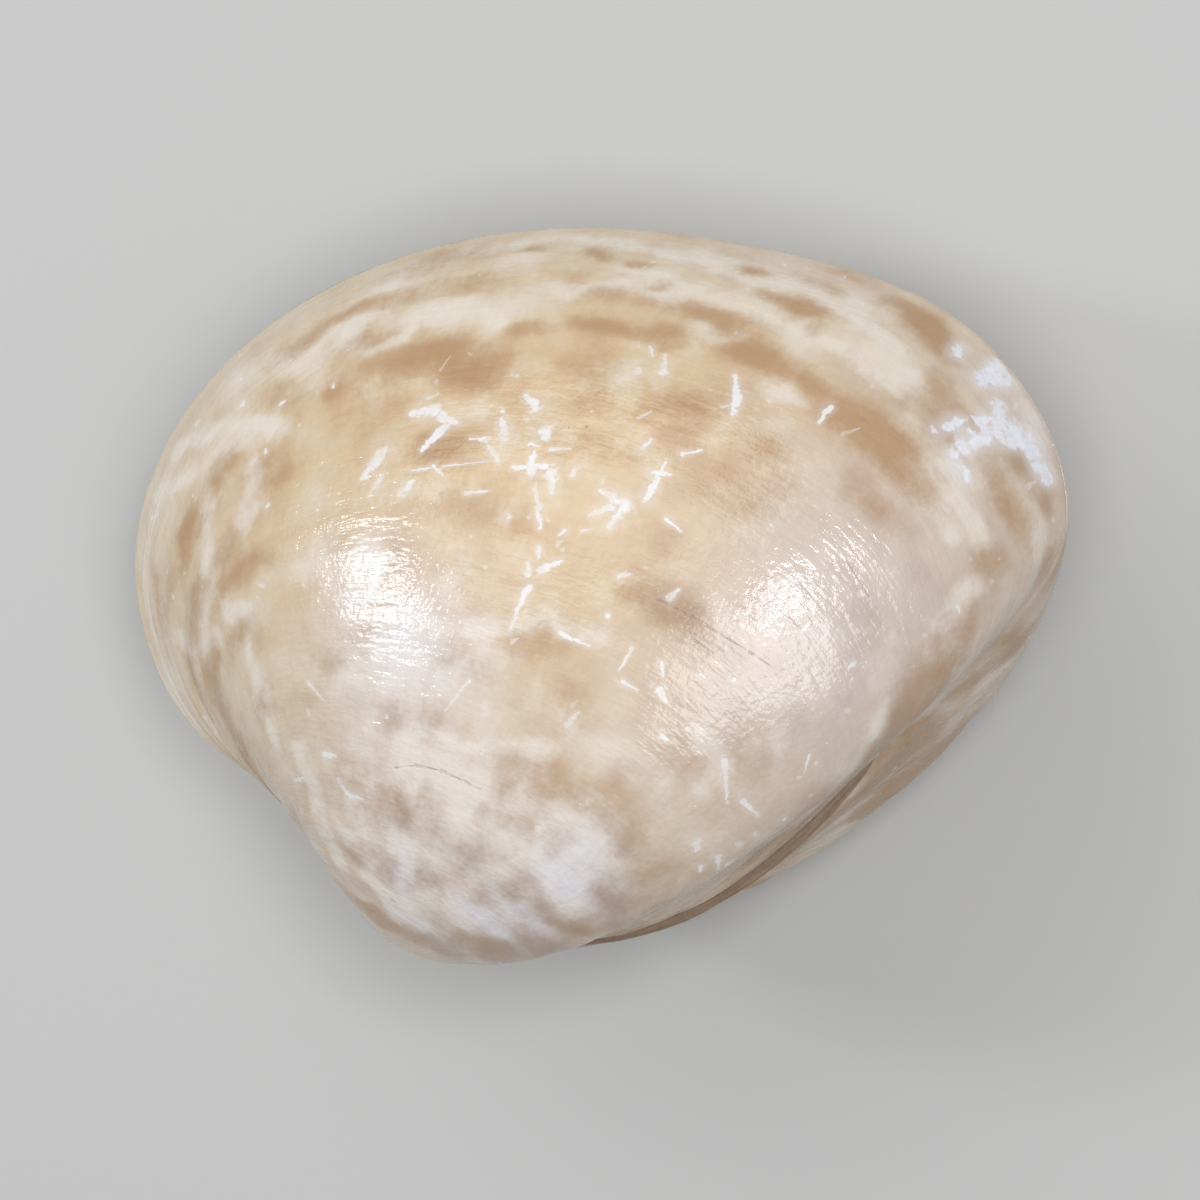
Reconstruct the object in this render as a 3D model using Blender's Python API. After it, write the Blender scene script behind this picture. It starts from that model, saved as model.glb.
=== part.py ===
"""Calico clam: a closed pair of shell valves and the ligament that joins them.

A valve is a low coil. Each of its growth lines is the seam outline, shrunk
towards the beak and turned about an axis that leans forward and dips into
the plane of the seam, so the two beaks curl forward until they almost meet.
The left valve is the right one mirrored in the seam. The pair lies on its
left valve, at the angle at which it balances, on a small flat spot.
"""
import bpy
import bmesh
import numpy as np

# Lengths are in millimetres and angles in radians, until to_metres
MM = 0.001

# The seam seen from the right: X runs from front to back, Y from hinge to belly
SEAM_OUTLINE = np.array((
    (5.2, 1.9),  # hinge below the beaks
    (17.3, -0.2),  # hinge behind the beaks
    (26.9, 5.2),  # end of the ligament
    (35.8, 14.4),  # back slope
    (41.8, 22.5),  # back end
    (36.6, 33.3),  # back of the belly
    (25.2, 38.3),
    (12.9, 40.1),  # belly, the lowest point in life
    (-0.2, 38.3),
    (-11.8, 31.4),  # front of the belly
    (-16.9, 20.4),  # front end
    (-13.0, 10.1),
    (-5.8, 5.2),  # hollow in front of the beaks
    (-1.2, 1.5),  # beak
))
OUTLINE_MIDDLE = np.array((13.0, 19.0))

# How a valve grows out of its beak
COIL_CENTRE = np.array((-0.95, 0.8, 0.0))
AXIS_LEAN = -0.27
AXIS_DIP = -0.31
COIL_TURN = 2.9
TAPER = (0.36, 1.42, -0.43)  # loss of size per radian at the seam, and its change with the turn
BACK_SWELL = 0.07  # the back end tapers this much more slowly than the front
BACK_DIRECTION = 0.23

# The wall, thicker along the hinge, and the gap between the closed valves
WALL = 1.5
HINGE_WALL = 3.2
HINGE_REACH = 14.0
HINGE_FADE = 10.0
WALL_LIMIT = 0.6  # share of the way to the middle that the wall may take up
CAVITY_TURN = 1.3
SEAM_GAP = 0.3
TOUCH_EASE = 0.1

# The ligament, and the groove in the hinge edge that it lies in
LIGAMENT_PATH = np.array(((9.0, -1.6), (16.5, -2.3), (23.4, 1.5), (30.3, 9.5)))
LIGAMENT_DEPTH = 0.85
LIGAMENT_WIDTH = 0.6
LIGAMENT_TIP = 0.35
GROOVE_DEPTH = 1.9
GROOVE_WIDTH = 1.15
GROOVE_FROM = 11.0
GROOVE_TO = 33.5
GROOVE_FADE = 3.0
GROOVE_TURN = 0.9

# How the pair lies: its balance, and the flat spot under it
BALANCE_ROLL = -0.125
BALANCE_PITCH = -0.047
REST_SPOT_DEPTH = 0.3
CUT_TOLERANCE = 1e-4

# Facets
AROUND = 64
GROWTH_LINES = 22
GROWTH_SPACING = 1.35  # above 1 crowds the growth lines towards the seam
CAVITY_LINES = 9
LIGAMENT_RINGS = 22
LIGAMENT_SIDES = 10
SHARP_ANGLE = 0.6


def clear_scene():
    for old in list(bpy.data.objects):
        bpy.data.objects.remove(old)


def smooth_step(x):
    """Rises from 0 to 1 with level ends while x goes from 0 to 1."""
    x = np.clip(x, 0.0, 1.0)
    return x * x * (3.0 - 2.0 * x)


def closed_curve(corners, count):
    """Smooth closed curve: a periodic cubic spline through the corners.

    The slope at each corner makes the curvature run on unbroken, and the
    spline's parameter grows by the root of the distance between corners.
    """
    total = len(corners)
    step = np.sqrt(np.linalg.norm(np.roll(corners, -1, 0) - corners, axis=1))
    matrix = np.zeros((total, total))
    known = np.zeros((total, 2))
    for i in range(total):
        before, after = step[i - 1], step[i]
        ahead, behind = (i + 1) % total, i - 1
        matrix[i, behind] += after
        matrix[i, i] += 2.0 * (before + after)
        matrix[i, ahead] += before
        rise_after = (corners[ahead] - corners[i]) * before / after
        rise_before = (corners[i] - corners[behind]) * after / before
        known[i] = 3.0 * (rise_after + rise_before)
    slope = np.linalg.solve(matrix, known)
    start = np.concatenate(([0.0], np.cumsum(step)))
    place = np.linspace(0.0, start[-1], count, endpoint=False)
    span = np.searchsorted(start, place, side="right") - 1
    following = (span + 1) % total
    length = step[span][:, None]
    t = ((place - start[span]) / step[span])[:, None]
    return ((2 * t**3 - 3 * t**2 + 1) * corners[span]
            + (t**3 - 2 * t**2 + t) * length * slope[span]
            + (3 * t**2 - 2 * t**3) * corners[following]
            + (t**3 - t**2) * length * slope[following])


def taper_rate(turn):
    """Loss of size per radian, after the given turn away from the seam."""
    return TAPER[0] + TAPER[1] * turn + TAPER[2] * turn**2


def growth_lines(outline, turns):
    """Growth lines of the right valve, one row for each turn from the seam.

    A point of the outline is turned about the coil axis and drawn towards
    the coil centre by exp(-k), where k is the taper rate summed over the turn.
    """
    lean, dip = AXIS_LEAN, AXIS_DIP
    axis = np.array((np.cos(lean) * np.cos(dip), np.sin(lean) * np.cos(dip), np.sin(dip)))
    arm = np.column_stack((outline, np.zeros(len(outline)))) - COIL_CENTRE
    along = (arm @ axis)[:, None] * axis
    cos = np.cos(turns)[:, None, None]
    sin = np.sin(turns)[:, None, None]
    turned = along + (arm - along) * cos + np.cross(axis, arm) * sin
    drawn = TAPER[0] * turns + TAPER[1] * turns**2 / 2 + TAPER[2] * turns**3 / 3
    spoke = outline - OUTLINE_MIDDLE
    bearing = np.arctan2(spoke[:, 1], spoke[:, 0]) - BACK_DIRECTION
    share = 1.0 - BACK_SWELL * np.cos(bearing)
    size = np.exp(-drawn[:, None] * share)
    return COIL_CENTRE + turned * size[:, :, None]


def outward(outline):
    """Unit vectors in the seam plane that point away from the outline."""
    tangent = np.roll(outline, -1, 0) - np.roll(outline, 1, 0)
    tangent /= np.linalg.norm(tangent, axis=1)[:, None]
    return np.column_stack((tangent[:, 1], -tangent[:, 0]))


def ligament_groove(points, outline, turns):
    """Sinks the hinge edge behind the beaks: a bell-shaped groove across the seam."""
    behind = smooth_step((outline[:, 0] - GROOVE_FROM) / GROOVE_FADE)
    before = smooth_step((GROOVE_TO - outline[:, 0]) / GROOVE_FADE)
    on_hinge = outline[:, 1] < HINGE_REACH
    across = np.exp(-(points[:, :, 2] / GROOVE_WIDTH) ** 2)
    early = (turns < GROOVE_TURN)[:, None]
    depth = GROOVE_DEPTH * across * (behind * before * on_hinge)[None, :] * early
    sunk = points.copy()
    sunk[:, :, :2] -= depth[:, :, None] * outward(outline)[None, :, :]
    return sunk


def inner_lines(outline, turns):
    """Lines of the hollow: growth lines drawn in towards their middle by the wall."""
    lines = growth_lines(outline, turns)
    inward = lines.mean(axis=1, keepdims=True) - lines
    reach = np.linalg.norm(inward, axis=2, keepdims=True)
    hinge = smooth_step((HINGE_REACH - outline[:, 1]) / HINGE_FADE)
    wall = WALL + (HINGE_WALL - WALL) * hinge
    slant = np.sqrt(1.0 + taper_rate(turns) ** 2)
    drawn = np.minimum(wall[None, :] * slant[:, None], WALL_LIMIT * reach[:, :, 0])
    return lines + inward / reach * drawn[:, :, None]


def stay_on_side(points):
    """Keeps a valve on its own side: Z never drops below the half gap by more than a hair."""
    z = points[..., 2]
    kept = points.copy()
    rise = 0.5 * (z + np.sqrt(z * z + TOUCH_EASE**2))
    kept[..., 2] = (SEAM_GAP - TOUCH_EASE) / 2 + rise
    return kept


def valve_rows():
    """Rows of points from the beak over the outside, the seam and the hollow."""
    outline = closed_curve(SEAM_OUTLINE, AROUND)
    share = np.linspace(1.0, 0.0, GROWTH_LINES)
    turns = COIL_TURN * share**GROWTH_SPACING
    outside = ligament_groove(growth_lines(outline, turns), outline, turns)
    hollow = inner_lines(outline, np.linspace(0.0, CAVITY_TURN, CAVITY_LINES))
    return stay_on_side(np.concatenate((outside, hollow)))


def ligament_rows():
    """Rings of points along the ligament: ellipses that narrow at both ends."""
    t = np.linspace(0.0, 1.0, LIGAMENT_RINGS)[:, None]
    p0, p1, p2, p3 = LIGAMENT_PATH
    path = (1 - t)**3 * p0 + 3 * (1 - t)**2 * t * p1 + 3 * (1 - t) * t**2 * p2 + t**3 * p3
    heading = np.gradient(path, axis=0)
    heading /= np.linalg.norm(heading, axis=1)[:, None]
    up = np.column_stack((heading[:, 1], -heading[:, 0]))
    size = LIGAMENT_TIP + (1 - LIGAMENT_TIP) * np.sqrt(1 - (2 * t - 1) ** 4)
    angle = np.linspace(0.0, 2 * np.pi, LIGAMENT_SIDES, endpoint=False)[None, :]
    rise = LIGAMENT_DEPTH * size * np.cos(angle)
    plane = path[:, None, :] + up[:, None, :] * rise[:, :, None]
    side = LIGAMENT_WIDTH * size * np.sin(angle)
    return np.concatenate((plane, side[:, :, None]), axis=2)


def balance():
    """Turns the seam plane to the angle at which the pair lies still."""
    cos_r, sin_r = np.cos(BALANCE_ROLL), np.sin(BALANCE_ROLL)
    cos_p, sin_p = np.cos(BALANCE_PITCH), np.sin(BALANCE_PITCH)
    roll = np.array(((1, 0, 0), (0, cos_r, -sin_r), (0, sin_r, cos_r)))
    pitch = np.array(((cos_p, 0, sin_p), (0, 1, 0), (-sin_p, 0, cos_p)))
    return pitch @ roll


def solid_from_rows(rows):
    """Closed mesh: bands of quads between the rows, and a cap on each end row."""
    mesh = bmesh.new()
    rings = [[mesh.verts.new(point) for point in row] for row in rows]
    for lower, upper in zip(rings, rings[1:]):
        for i, corner in enumerate(lower):
            j = (i + 1) % len(lower)
            mesh.faces.new((corner, lower[j], upper[j], upper[i]))
    for ring in (rings[0], rings[-1]):
        middle = mesh.verts.new(np.mean([vert.co[:] for vert in ring], axis=0))
        for i, corner in enumerate(ring):
            mesh.faces.new((middle, corner, ring[(i + 1) % len(ring)]))
    bmesh.ops.recalc_face_normals(mesh, faces=mesh.faces[:])
    return mesh


def flatten_below(mesh, height):
    """Cuts the mesh off level at the given height and closes the cut."""
    everything = mesh.verts[:] + mesh.edges[:] + mesh.faces[:]
    cut = bmesh.ops.bisect_plane(
        mesh, geom=everything, dist=CUT_TOLERANCE, plane_co=(0.0, 0.0, height),
        plane_no=(0.0, 0.0, 1.0), clear_inner=True)
    rim = [item for item in cut["geom_cut"] if isinstance(item, bmesh.types.BMEdge)]
    bmesh.ops.contextual_create(mesh, geom=rim)
    bmesh.ops.recalc_face_normals(mesh, faces=mesh.faces[:])


def finish_object(name, mesh, material):
    """Turns a bmesh in millimetres into a named, smooth-shaded object in metres."""
    bmesh.ops.scale(mesh, vec=(MM, MM, MM), verts=mesh.verts[:])
    data = bpy.data.meshes.new(name)
    mesh.to_mesh(data)
    mesh.free()
    data.materials.append(material)
    data.shade_smooth()
    data.set_sharp_from_angle(angle=SHARP_ANGLE)
    thing = bpy.data.objects.new(name, data)
    bpy.context.scene.collection.objects.link(thing)


def shell_material(name, colour, roughness):
    material = bpy.data.materials.new(name)
    material.use_nodes = True
    shader = material.node_tree.nodes["Principled BSDF"]
    shader.inputs["Base Color"].default_value = (*colour, 1.0)
    shader.inputs["Roughness"].default_value = roughness
    shader.inputs["Metallic"].default_value = 0.0
    return material


def main():
    clear_scene()
    turned = balance().T
    right = valve_rows()
    left = right * np.array((1.0, 1.0, -1.0))
    rows = {
        "right_valve": right @ turned,
        "left_valve": left @ turned,
        "ligament": ligament_rows() @ turned,
    }
    points = np.concatenate([part.reshape(-1, 3) for part in rows.values()])
    low, high = points.min(axis=0), points.max(axis=0)
    floor = low[2] + REST_SPOT_DEPTH
    origin = np.array(((low[0] + high[0]) / 2, (low[1] + high[1]) / 2, floor))
    finishes = {
        "right_valve": shell_material("right_valve_shell", (0.62, 0.47, 0.34), 0.28),
        "left_valve": shell_material("left_valve_shell", (0.60, 0.45, 0.33), 0.28),
        "ligament": shell_material("ligament_horn", (0.30, 0.19, 0.11), 0.5),
    }
    for name, part in rows.items():
        mesh = solid_from_rows(part - origin)
        if name == "left_valve":
            flatten_below(mesh, 0.0)
        finish_object(name, mesh, finishes[name])


main()
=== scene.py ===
"""Looks of the calico clam: two polished valves and the horny ligament between them.

Each valve follows the same low coil as its solid, on a fine grid that carries
the growth relief. The colour marks are fields on that grid, which the shell
material mixes: soft tan checks in rows along the growth lines, grey-brown
where the lilac of the beak reaches them, pale checks and wavy pale lines, an
amber middle, a rosy back, a chalky worn patch, white chips and fine scores.
Some of these marks hold painted light: dark checks on the beak's lower rim
and in the fold behind the beaks are partly painted shade, the scores partly
painted shade in grooves and pits, lilac and pale spots round the two
highlights a painted sheen, and the smallest white dots partly painted glints.
"""

import bpy
import numpy as np
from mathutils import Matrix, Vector


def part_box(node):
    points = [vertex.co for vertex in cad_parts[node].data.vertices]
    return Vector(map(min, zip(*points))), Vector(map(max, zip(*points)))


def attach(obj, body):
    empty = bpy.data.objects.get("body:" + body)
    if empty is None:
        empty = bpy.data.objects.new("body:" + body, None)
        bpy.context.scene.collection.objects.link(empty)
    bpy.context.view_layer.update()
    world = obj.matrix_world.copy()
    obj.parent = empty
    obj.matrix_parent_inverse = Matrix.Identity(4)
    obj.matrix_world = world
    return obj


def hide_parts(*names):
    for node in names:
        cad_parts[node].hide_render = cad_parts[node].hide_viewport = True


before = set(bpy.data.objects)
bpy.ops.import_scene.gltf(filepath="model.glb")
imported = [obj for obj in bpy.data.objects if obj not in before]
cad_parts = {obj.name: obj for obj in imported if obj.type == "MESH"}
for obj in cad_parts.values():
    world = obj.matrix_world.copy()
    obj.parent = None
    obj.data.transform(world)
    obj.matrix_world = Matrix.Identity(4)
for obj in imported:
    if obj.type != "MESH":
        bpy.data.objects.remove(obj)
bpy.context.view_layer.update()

# Lengths are in millimetres and angles in radians, until they enter a mesh
MM = 0.001

# The coil, as in the solids
SEAM_OUTLINE = np.array((
    (5.2, 1.9), (17.3, -0.2), (26.9, 5.2), (35.8, 14.4), (41.8, 22.5),
    (36.6, 33.3), (25.2, 38.3), (12.9, 40.1), (-0.2, 38.3), (-11.8, 31.4),
    (-16.9, 20.4), (-13.0, 10.1), (-5.8, 5.2), (-1.2, 1.5),
))
OUTLINE_MIDDLE = np.array((13.0, 19.0))
COIL_CENTRE = np.array((-0.95, 0.8, 0.0))
AXIS_LEAN = -0.27
AXIS_DIP = -0.31
COIL_TURN = 2.9
TAPER = (0.36, 1.42, -0.43)
BACK_SWELL = 0.07
BACK_DIRECTION = 0.23
WALL = 1.5
HINGE_WALL = 3.2
HINGE_REACH = 14.0
HINGE_FADE = 10.0
WALL_LIMIT = 0.6
CAVITY_TURN = 1.3
SEAM_GAP = 0.3
TOUCH_EASE = 0.1
LIGAMENT_PATH = np.array(((9.0, -1.6), (16.5, -2.3), (23.4, 1.5), (30.3, 9.5)))
LIGAMENT_DEPTH = 0.85
LIGAMENT_WIDTH = 0.6
LIGAMENT_TIP = 0.35
GROOVE_DEPTH = 1.9
GROOVE_WIDTH = 1.15
GROOVE_FROM = 11.0
GROOVE_TO = 33.5
GROOVE_FADE = 3.0
GROOVE_TURN = 0.9
BALANCE_ROLL = -0.125
BALANCE_PITCH = -0.047
SOLID_RINGS = 22  # the ligament's solid has this many rings, of this many sides
SOLID_SIDES = 10

# The fine grid
AROUND = 400
OUTSIDE_ROWS = 196
LIP_ROWS = 7
LIP_RADIUS = 0.22
BELLY_STEPS = 2000
HOLLOW_ROWS = 26
SHELL_HEIGHT = 40.0  # growth is measured on this height: 0 at the beak, 40 at the seam
SHARP_ANGLE = 1.0
STREAK_REACH = 16.0  # below this growth the streaks widen, so that they don't crowd at the beak
ACROSS_SEAM = np.array((1.0, 1.0, -1.0))

# Value noise: how many random numbers it holds, and what spreads its cells over them
NOISE_NUMBERS = 4096
NOISE_PRIMES = (73856093, 19349663, 83492791)

# Growth relief: wave length, height of the waves
GROWTH_WAVES = ((0.95, 0.007), (1.6, 0.012), (2.7, 0.022), (4.6, 0.034), (8.0, 0.05))
AGE_STEPS = 180
AGE_MARGIN = 2.0
PHASE_WANDER = 0.22
PHASE_START = (0, 6)
PHASE_SWING = (0.3, 1.0)
STRENGTH_MEAN = 0.65
STRENGTH_DRIFT = 0.6
DRIFT_SIZE = 9.0
DIMPLES = ((2.4, 0.028), (1.3, 0.014))  # size, depth
SEAM_FADE = 1.5  # the relief sets in over this height above the seam
BEAK_FADE = 6.0  # and over this growth from the beak

# The ligament's fine grid; its relief is in shares of its thickness, its ends in shares of its length
HORN_RINGS = 160
HORN_SIDES = 72
HORN_LENGTH = 26.0
HORN_SIZE = 0.97
HORN_TIP = 0.06
RIDGE_COUNT = 9
RIDGE_HEIGHT = 0.04
RIDGE_SWAY = 2.0
RIDGE_SWAYS = 7
RIDGE_SINK = 0.03
RIDGE_FADE = 0.04
LUMP_HEIGHT = 0.05
LUMP_SIZE = 1.1
LUMP_SEED = 3

# The photograph's view, in the shell's own axes
PHOTO_SIZE = 1200
PHOTO_CENTRE = (592.67, 573.30)
PIXELS_PER_MM = 16.92
VIEW_CENTRE = np.array((12.9, 19.6, 0.0))
VIEW_DISTANCE = 300.0
VIEW_TILT_X = 0.011
VIEW_TILT_Y = -0.349
SENSOR = 36.0
NEAR_CLIP = 0.01  # in metres

# Smallest cosine between a normal and the line of sight for a place that counts as seen
SEEN_POINT = 0.03
SEEN_SPECK = 0.1
SEEN_CHECK = 0.12
OFF_PHOTO = 1e4  # pixels that move an unseen point out of the photograph

# Seeds of each valve, and of the hidden checks that both share; the relief draws more in a range
RIGHT_SEEDS = {"relief": 11, "edge": 3, "speck": 5}
LEFT_SEEDS = {"relief": 11, "edge": 57, "speck": 12}
CHECK_SEED = 7
DRAWN_SEEDS = (1, 9999)

# Soft spots: how far they spread, how they fade, and how much deeper they reach than they are wide
SPOT_SPREAD = 1.15
SPOT_FADE = 0.7
SPOT_DEPTH = 1.0
CHECK_FALLOFF = 1.3
ZONE_FALLOFF = 1.0
# Uneven edges of checks and of zones: reach and size of the noise that moves them
CHECK_EDGE = (0.55, 1.7)
ZONE_EDGE = (1.6, 5.0)

# Hidden checks: growth of the first ring and of the last, step to the next ring and round each
FIRST_RING = 6.0
LAST_RING = 39.5
RING_STEP = 2.7
CHECK_STEP = 4.2
RING_RADIUS = 0.6  # as a share of its growth
FEWEST_CHECKS = 5
CHECK_CHANCE = 0.62
CHECK_SHIFT = 0.35
CHECK_LENGTHS = (0.8, 2.3)
CHECK_WIDTHS = (0.6, 1.1)
CHECK_FORCES = (0.45, 1.0)
HIDDEN_TAN = 0.9
HIDDEN_PALE = 0.8

# Specks placed by chance: how many, rows left free at the beak and the seam, half sizes and their odds
SPECK_COUNT = 90
SEEN_SPECK_COUNT = 140
SCORE_COUNT = 22
BEAK_ROWS = 20
SEAM_ROWS = 12
SPECK_CROWDING = 1.3
SPECK_LENGTHS = (0.05, 0.18, 0.5)
SPECK_ODDS = (0.66, 0.26, 0.08)
SPECK_STRETCH = (0.6, 1.4)
SPECK_WIDTHS = (0.05, 0.15)

# What the hollow, which has no marks and no chips, gets for its fields
HOLLOW_ZONES = (0.2, 0.2, 0.2)
HOLLOW_MARKS = (0.0, 0.6, 0.0)
FAR_AWAY = (99.0, 99.0, 0.0)

# Marks: photo x and y, half length along the growth line, half width across it, strength
TAN_CHECKS_AND_SHADE = (
    (440, 352, 2.3, 1.2, 0.95), (478, 374, 2.2, 1.2, 0.95), (385, 378, 2.6, 1.5, 0.5),
    (428, 264, 2.6, 1.3, 0.5), (460, 282, 2.2, 0.9, 0.6), (404, 297, 1.3, 1.0, 0.55),
    (340, 316, 1.8, 0.7, 0.65), (366, 308, 1.4, 0.6, 0.5), (296, 347, 1.5, 0.8, 0.6),
    (370, 340, 1.7, 0.8, 0.6), (334, 389, 0.8, 0.7, 0.6), (300, 388, 2.0, 1.3, 0.45),
    (375, 420, 1.8, 1.4, 0.45), (222, 469, 1.3, 1.1, 0.8), (273, 469, 2.0, 1.8, 0.6),
    (186, 540, 2.3, 0.8, 0.9), (226, 545, 1.9, 0.8, 0.65), (262, 564, 1.5, 0.8, 0.5),
    (228, 582, 1.6, 0.7, 0.55), (160, 604, 1.6, 1.1, 0.55), (194, 606, 1.7, 1.0, 0.8),
    (212, 674, 1.9, 1.1, 0.85), (190, 668, 1.4, 0.9, 0.6), (241, 640, 2.0, 0.8, 0.6),
    (236, 738, 2.4, 1.0, 0.75), (262, 700, 1.6, 0.8, 0.4),
    (531, 252, 0.9, 0.5, 0.7), (568, 276, 1.1, 0.6, 0.5), (597, 252, 0.9, 0.5, 0.8),
    (632, 265, 0.9, 0.5, 0.7), (660, 282, 0.8, 0.5, 0.6), (608, 298, 0.9, 0.8, 0.6),
    (531, 328, 1.4, 0.7, 0.6), (584, 325, 1.0, 0.6, 0.5), (592, 361, 1.9, 1.1, 0.45),
    (690, 313, 2.3, 0.7, 0.75), (720, 321, 1.6, 0.7, 0.75), (630, 335, 2.6, 0.7, 0.75),
    (682, 339, 0.9, 0.5, 0.6), (755, 275, 0.9, 0.5, 0.75), (778, 298, 1.5, 0.5, 0.75),
    (814, 308, 1.7, 0.6, 0.75), (816, 332, 0.7, 0.6, 0.65), (747, 350, 1.5, 0.8, 0.75),
    (778, 370, 2.0, 0.8, 0.8), (811, 386, 0.9, 0.6, 0.75), (612, 374, 1.8, 0.9, 0.45),
    (905, 312, 1.6, 0.8, 0.8), (930, 325, 1.6, 0.9, 0.8), (940, 350, 1.5, 0.7, 0.6),
    (686, 410, 2.5, 1.6, 0.75), (596, 442, 2.2, 0.9, 0.5), (442, 446, 2.2, 0.8, 0.8),
    (858, 425, 2.1, 1.1, 0.95), (890, 450, 2.0, 1.0, 0.95), (920, 478, 1.8, 0.7, 0.7),
    (930, 412, 1.7, 1.3, 0.7), (944, 384, 1.2, 0.8, 0.5), (768, 453, 1.1, 0.7, 0.6),
    (717, 476, 2.5, 1.5, 0.5), (784, 494, 1.0, 0.8, 0.5), (758, 511, 0.9, 0.7, 0.5),
    (874, 507, 2.2, 1.1, 0.6), (1017, 517, 1.6, 0.7, 0.65), (1046, 502, 0.8, 0.8, 0.6),
    (1003, 470, 1.7, 1.4, 0.42), (1048, 561, 1.4, 0.9, 0.8), (994, 575, 1.5, 1.0, 0.55),
    (653, 538, 1.7, 1.0, 0.4), (646, 592, 1.4, 0.9, 0.7), (678, 606, 2.0, 1.2, 0.75),
    (465, 500, 3.0, 1.1, 0.45), (500, 520, 2.6, 0.9, 0.4), (590, 400, 1.6, 0.8, 0.45),
    (337, 663, 1.5, 0.9, 0.4), (464, 663, 2.0, 0.9, 0.4), (531, 640, 1.5, 1.0, 0.4),
    (519, 752, 2.2, 0.8, 0.4), (417, 720, 1.6, 0.9, 0.4), (566, 707, 1.3, 1.4, 0.5),
    (345, 785, 1.2, 0.8, 0.55), (382, 806, 1.4, 1.5, 0.55), (425, 818, 1.8, 1.5, 0.6),
    (474, 851, 1.2, 1.3, 0.5), (516, 815, 1.7, 1.7, 0.6), (521, 884, 1.3, 1.6, 0.5),
    (473, 893, 1.3, 1.0, 0.55), (430, 885, 1.2, 1.4, 0.5), (350, 854, 1.4, 0.6, 0.5),
    # The strong checks along the beak's lower rim, from (372, 915) to (620, 920), are partly the beak's
    # own grey-brown checks and partly painted shade of the rim, which turns away from the light.
    (386, 872, 0.9, 1.1, 0.55), (372, 915, 1.4, 0.7, 0.95), (398, 930, 1.2, 0.6, 0.8),
    (436, 944, 1.5, 0.9, 1.0), (471, 945, 1.0, 1.0, 0.9), (504, 955, 1.5, 1.3, 1.0),
    (543, 947, 1.4, 1.1, 1.0), (576, 928, 1.1, 1.1, 0.85), (610, 885, 1.0, 1.4, 0.6),
    (550, 913, 0.9, 0.6, 0.5), (620, 920, 2.0, 1.0, 0.7), (640, 860, 1.6, 1.4, 0.4),
    (620, 826, 1.6, 1.2, 0.4), (560, 790, 1.8, 1.1, 0.4), (600, 790, 1.2, 1.0, 0.3),
    (820, 286, 1.7, 0.6, 0.6), (845, 273, 1.5, 0.4, 0.5),
    (758, 752, 1.8, 1.5, 0.45), (706, 776, 1.8, 1.4, 0.5), (966, 640, 1.4, 0.7, 0.6),
    (925, 690, 1.5, 0.7, 0.5), (973, 422, 0.8, 0.5, 0.9), (948, 440, 1.5, 0.4, 0.8),
    (1016, 452, 0.9, 0.6, 0.7), (875, 640, 1.5, 0.9, 0.3), (790, 700, 1.6, 1.2, 0.3),
    # These last rows, from (945, 665) to (755, 856), darken the fold along the hinge behind the beaks:
    # partly brown stain by the ligament, partly painted shade of the fold.
    (945, 665, 2.2, 1.0, 0.75), (915, 705, 2.2, 1.2, 0.95), (878, 750, 2.2, 1.2, 1.0),
    (840, 790, 2.2, 1.1, 1.0), (798, 828, 2.2, 1.0, 1.0), (755, 856, 2.0, 0.8, 0.8),
)
PALE_CHECKS_AND_SHEEN = (
    (470, 309, 3.4, 0.9, 0.8), (420, 318, 1.8, 0.9, 0.7), (382, 288, 1.7, 0.8, 0.7),
    (330, 352, 2.2, 0.7, 0.6), (362, 322, 1.6, 0.5, 0.6), (247, 372, 2.2, 1.2, 0.6),
    (290, 364, 1.8, 0.6, 0.6), (230, 437, 2.0, 1.1, 0.6), (152, 523, 3.2, 0.9, 0.7),
    (206, 596, 2.4, 0.6, 0.7), (161, 640, 2.2, 1.2, 0.6), (182, 703, 2.6, 1.1, 0.6),
    (714, 262, 2.4, 0.9, 0.9), (742, 278, 1.4, 0.6, 0.7), (690, 288, 2.2, 0.4, 0.6),
    (655, 300, 1.8, 0.5, 0.6), (771, 318, 2.4, 0.8, 0.7), (800, 340, 2.0, 0.9, 0.5),
    (857, 305, 1.5, 1.1, 0.5), (896, 376, 2.4, 1.2, 0.8), (723, 338, 1.6, 0.6, 0.6),
    (778, 392, 1.6, 0.5, 0.6), (905, 455, 1.8, 0.7, 0.5), (560, 290, 2.2, 0.6, 0.6),
    (520, 262, 1.4, 0.8, 0.5), (480, 250, 2.6, 0.7, 0.5), (500, 420, 2.4, 0.7, 0.4),
    (770, 430, 1.4, 0.7, 0.4), (439, 766, 2.6, 0.5, 0.8),
    (502, 915, 1.9, 1.0, 0.6), (562, 886, 1.3, 1.0, 0.3), (402, 868, 0.7, 1.2, 0.5),
    (488, 924, 1.2, 0.7, 0.7), (532, 920, 1.2, 0.7, 0.6),
    (440, 910, 2.2, 0.5, 0.5), (455, 788, 1.6, 0.8, 0.5), (590, 850, 1.6, 1.0, 0.4),
    (455, 845, 6.0, 5.0, 0.7),
    (590, 745, 2.0, 0.7, 0.4), (640, 770, 2.0, 0.8, 0.4), (1035, 530, 1.8, 0.7, 0.5),
    (965, 465, 2.2, 1.0, 0.7), (1018, 400, 2.0, 0.9, 0.3), (1040, 440, 1.8, 0.8, 0.5),
    # These three pale spots round the left highlight are partly pale shell and partly painted sheen of
    # that highlight.
    (350, 560, 2.6, 1.8, 0.6), (400, 650, 3.0, 2.2, 0.6), (480, 655, 2.2, 1.0, 0.4),
)
# Marks of the left valve, which the photograph shows beyond the seam
LEFT_TAN_CHECKS = ((915, 745, 2.4, 1.8, 1.0), (890, 795, 2.2, 1.5, 1.0), (1008, 645, 1.6, 1.6, 0.9))
LEFT_PALE_CHECKS = ((975, 690, 3.2, 2.4, 0.8), (867, 816, 2.4, 1.6, 0.8))

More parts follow.
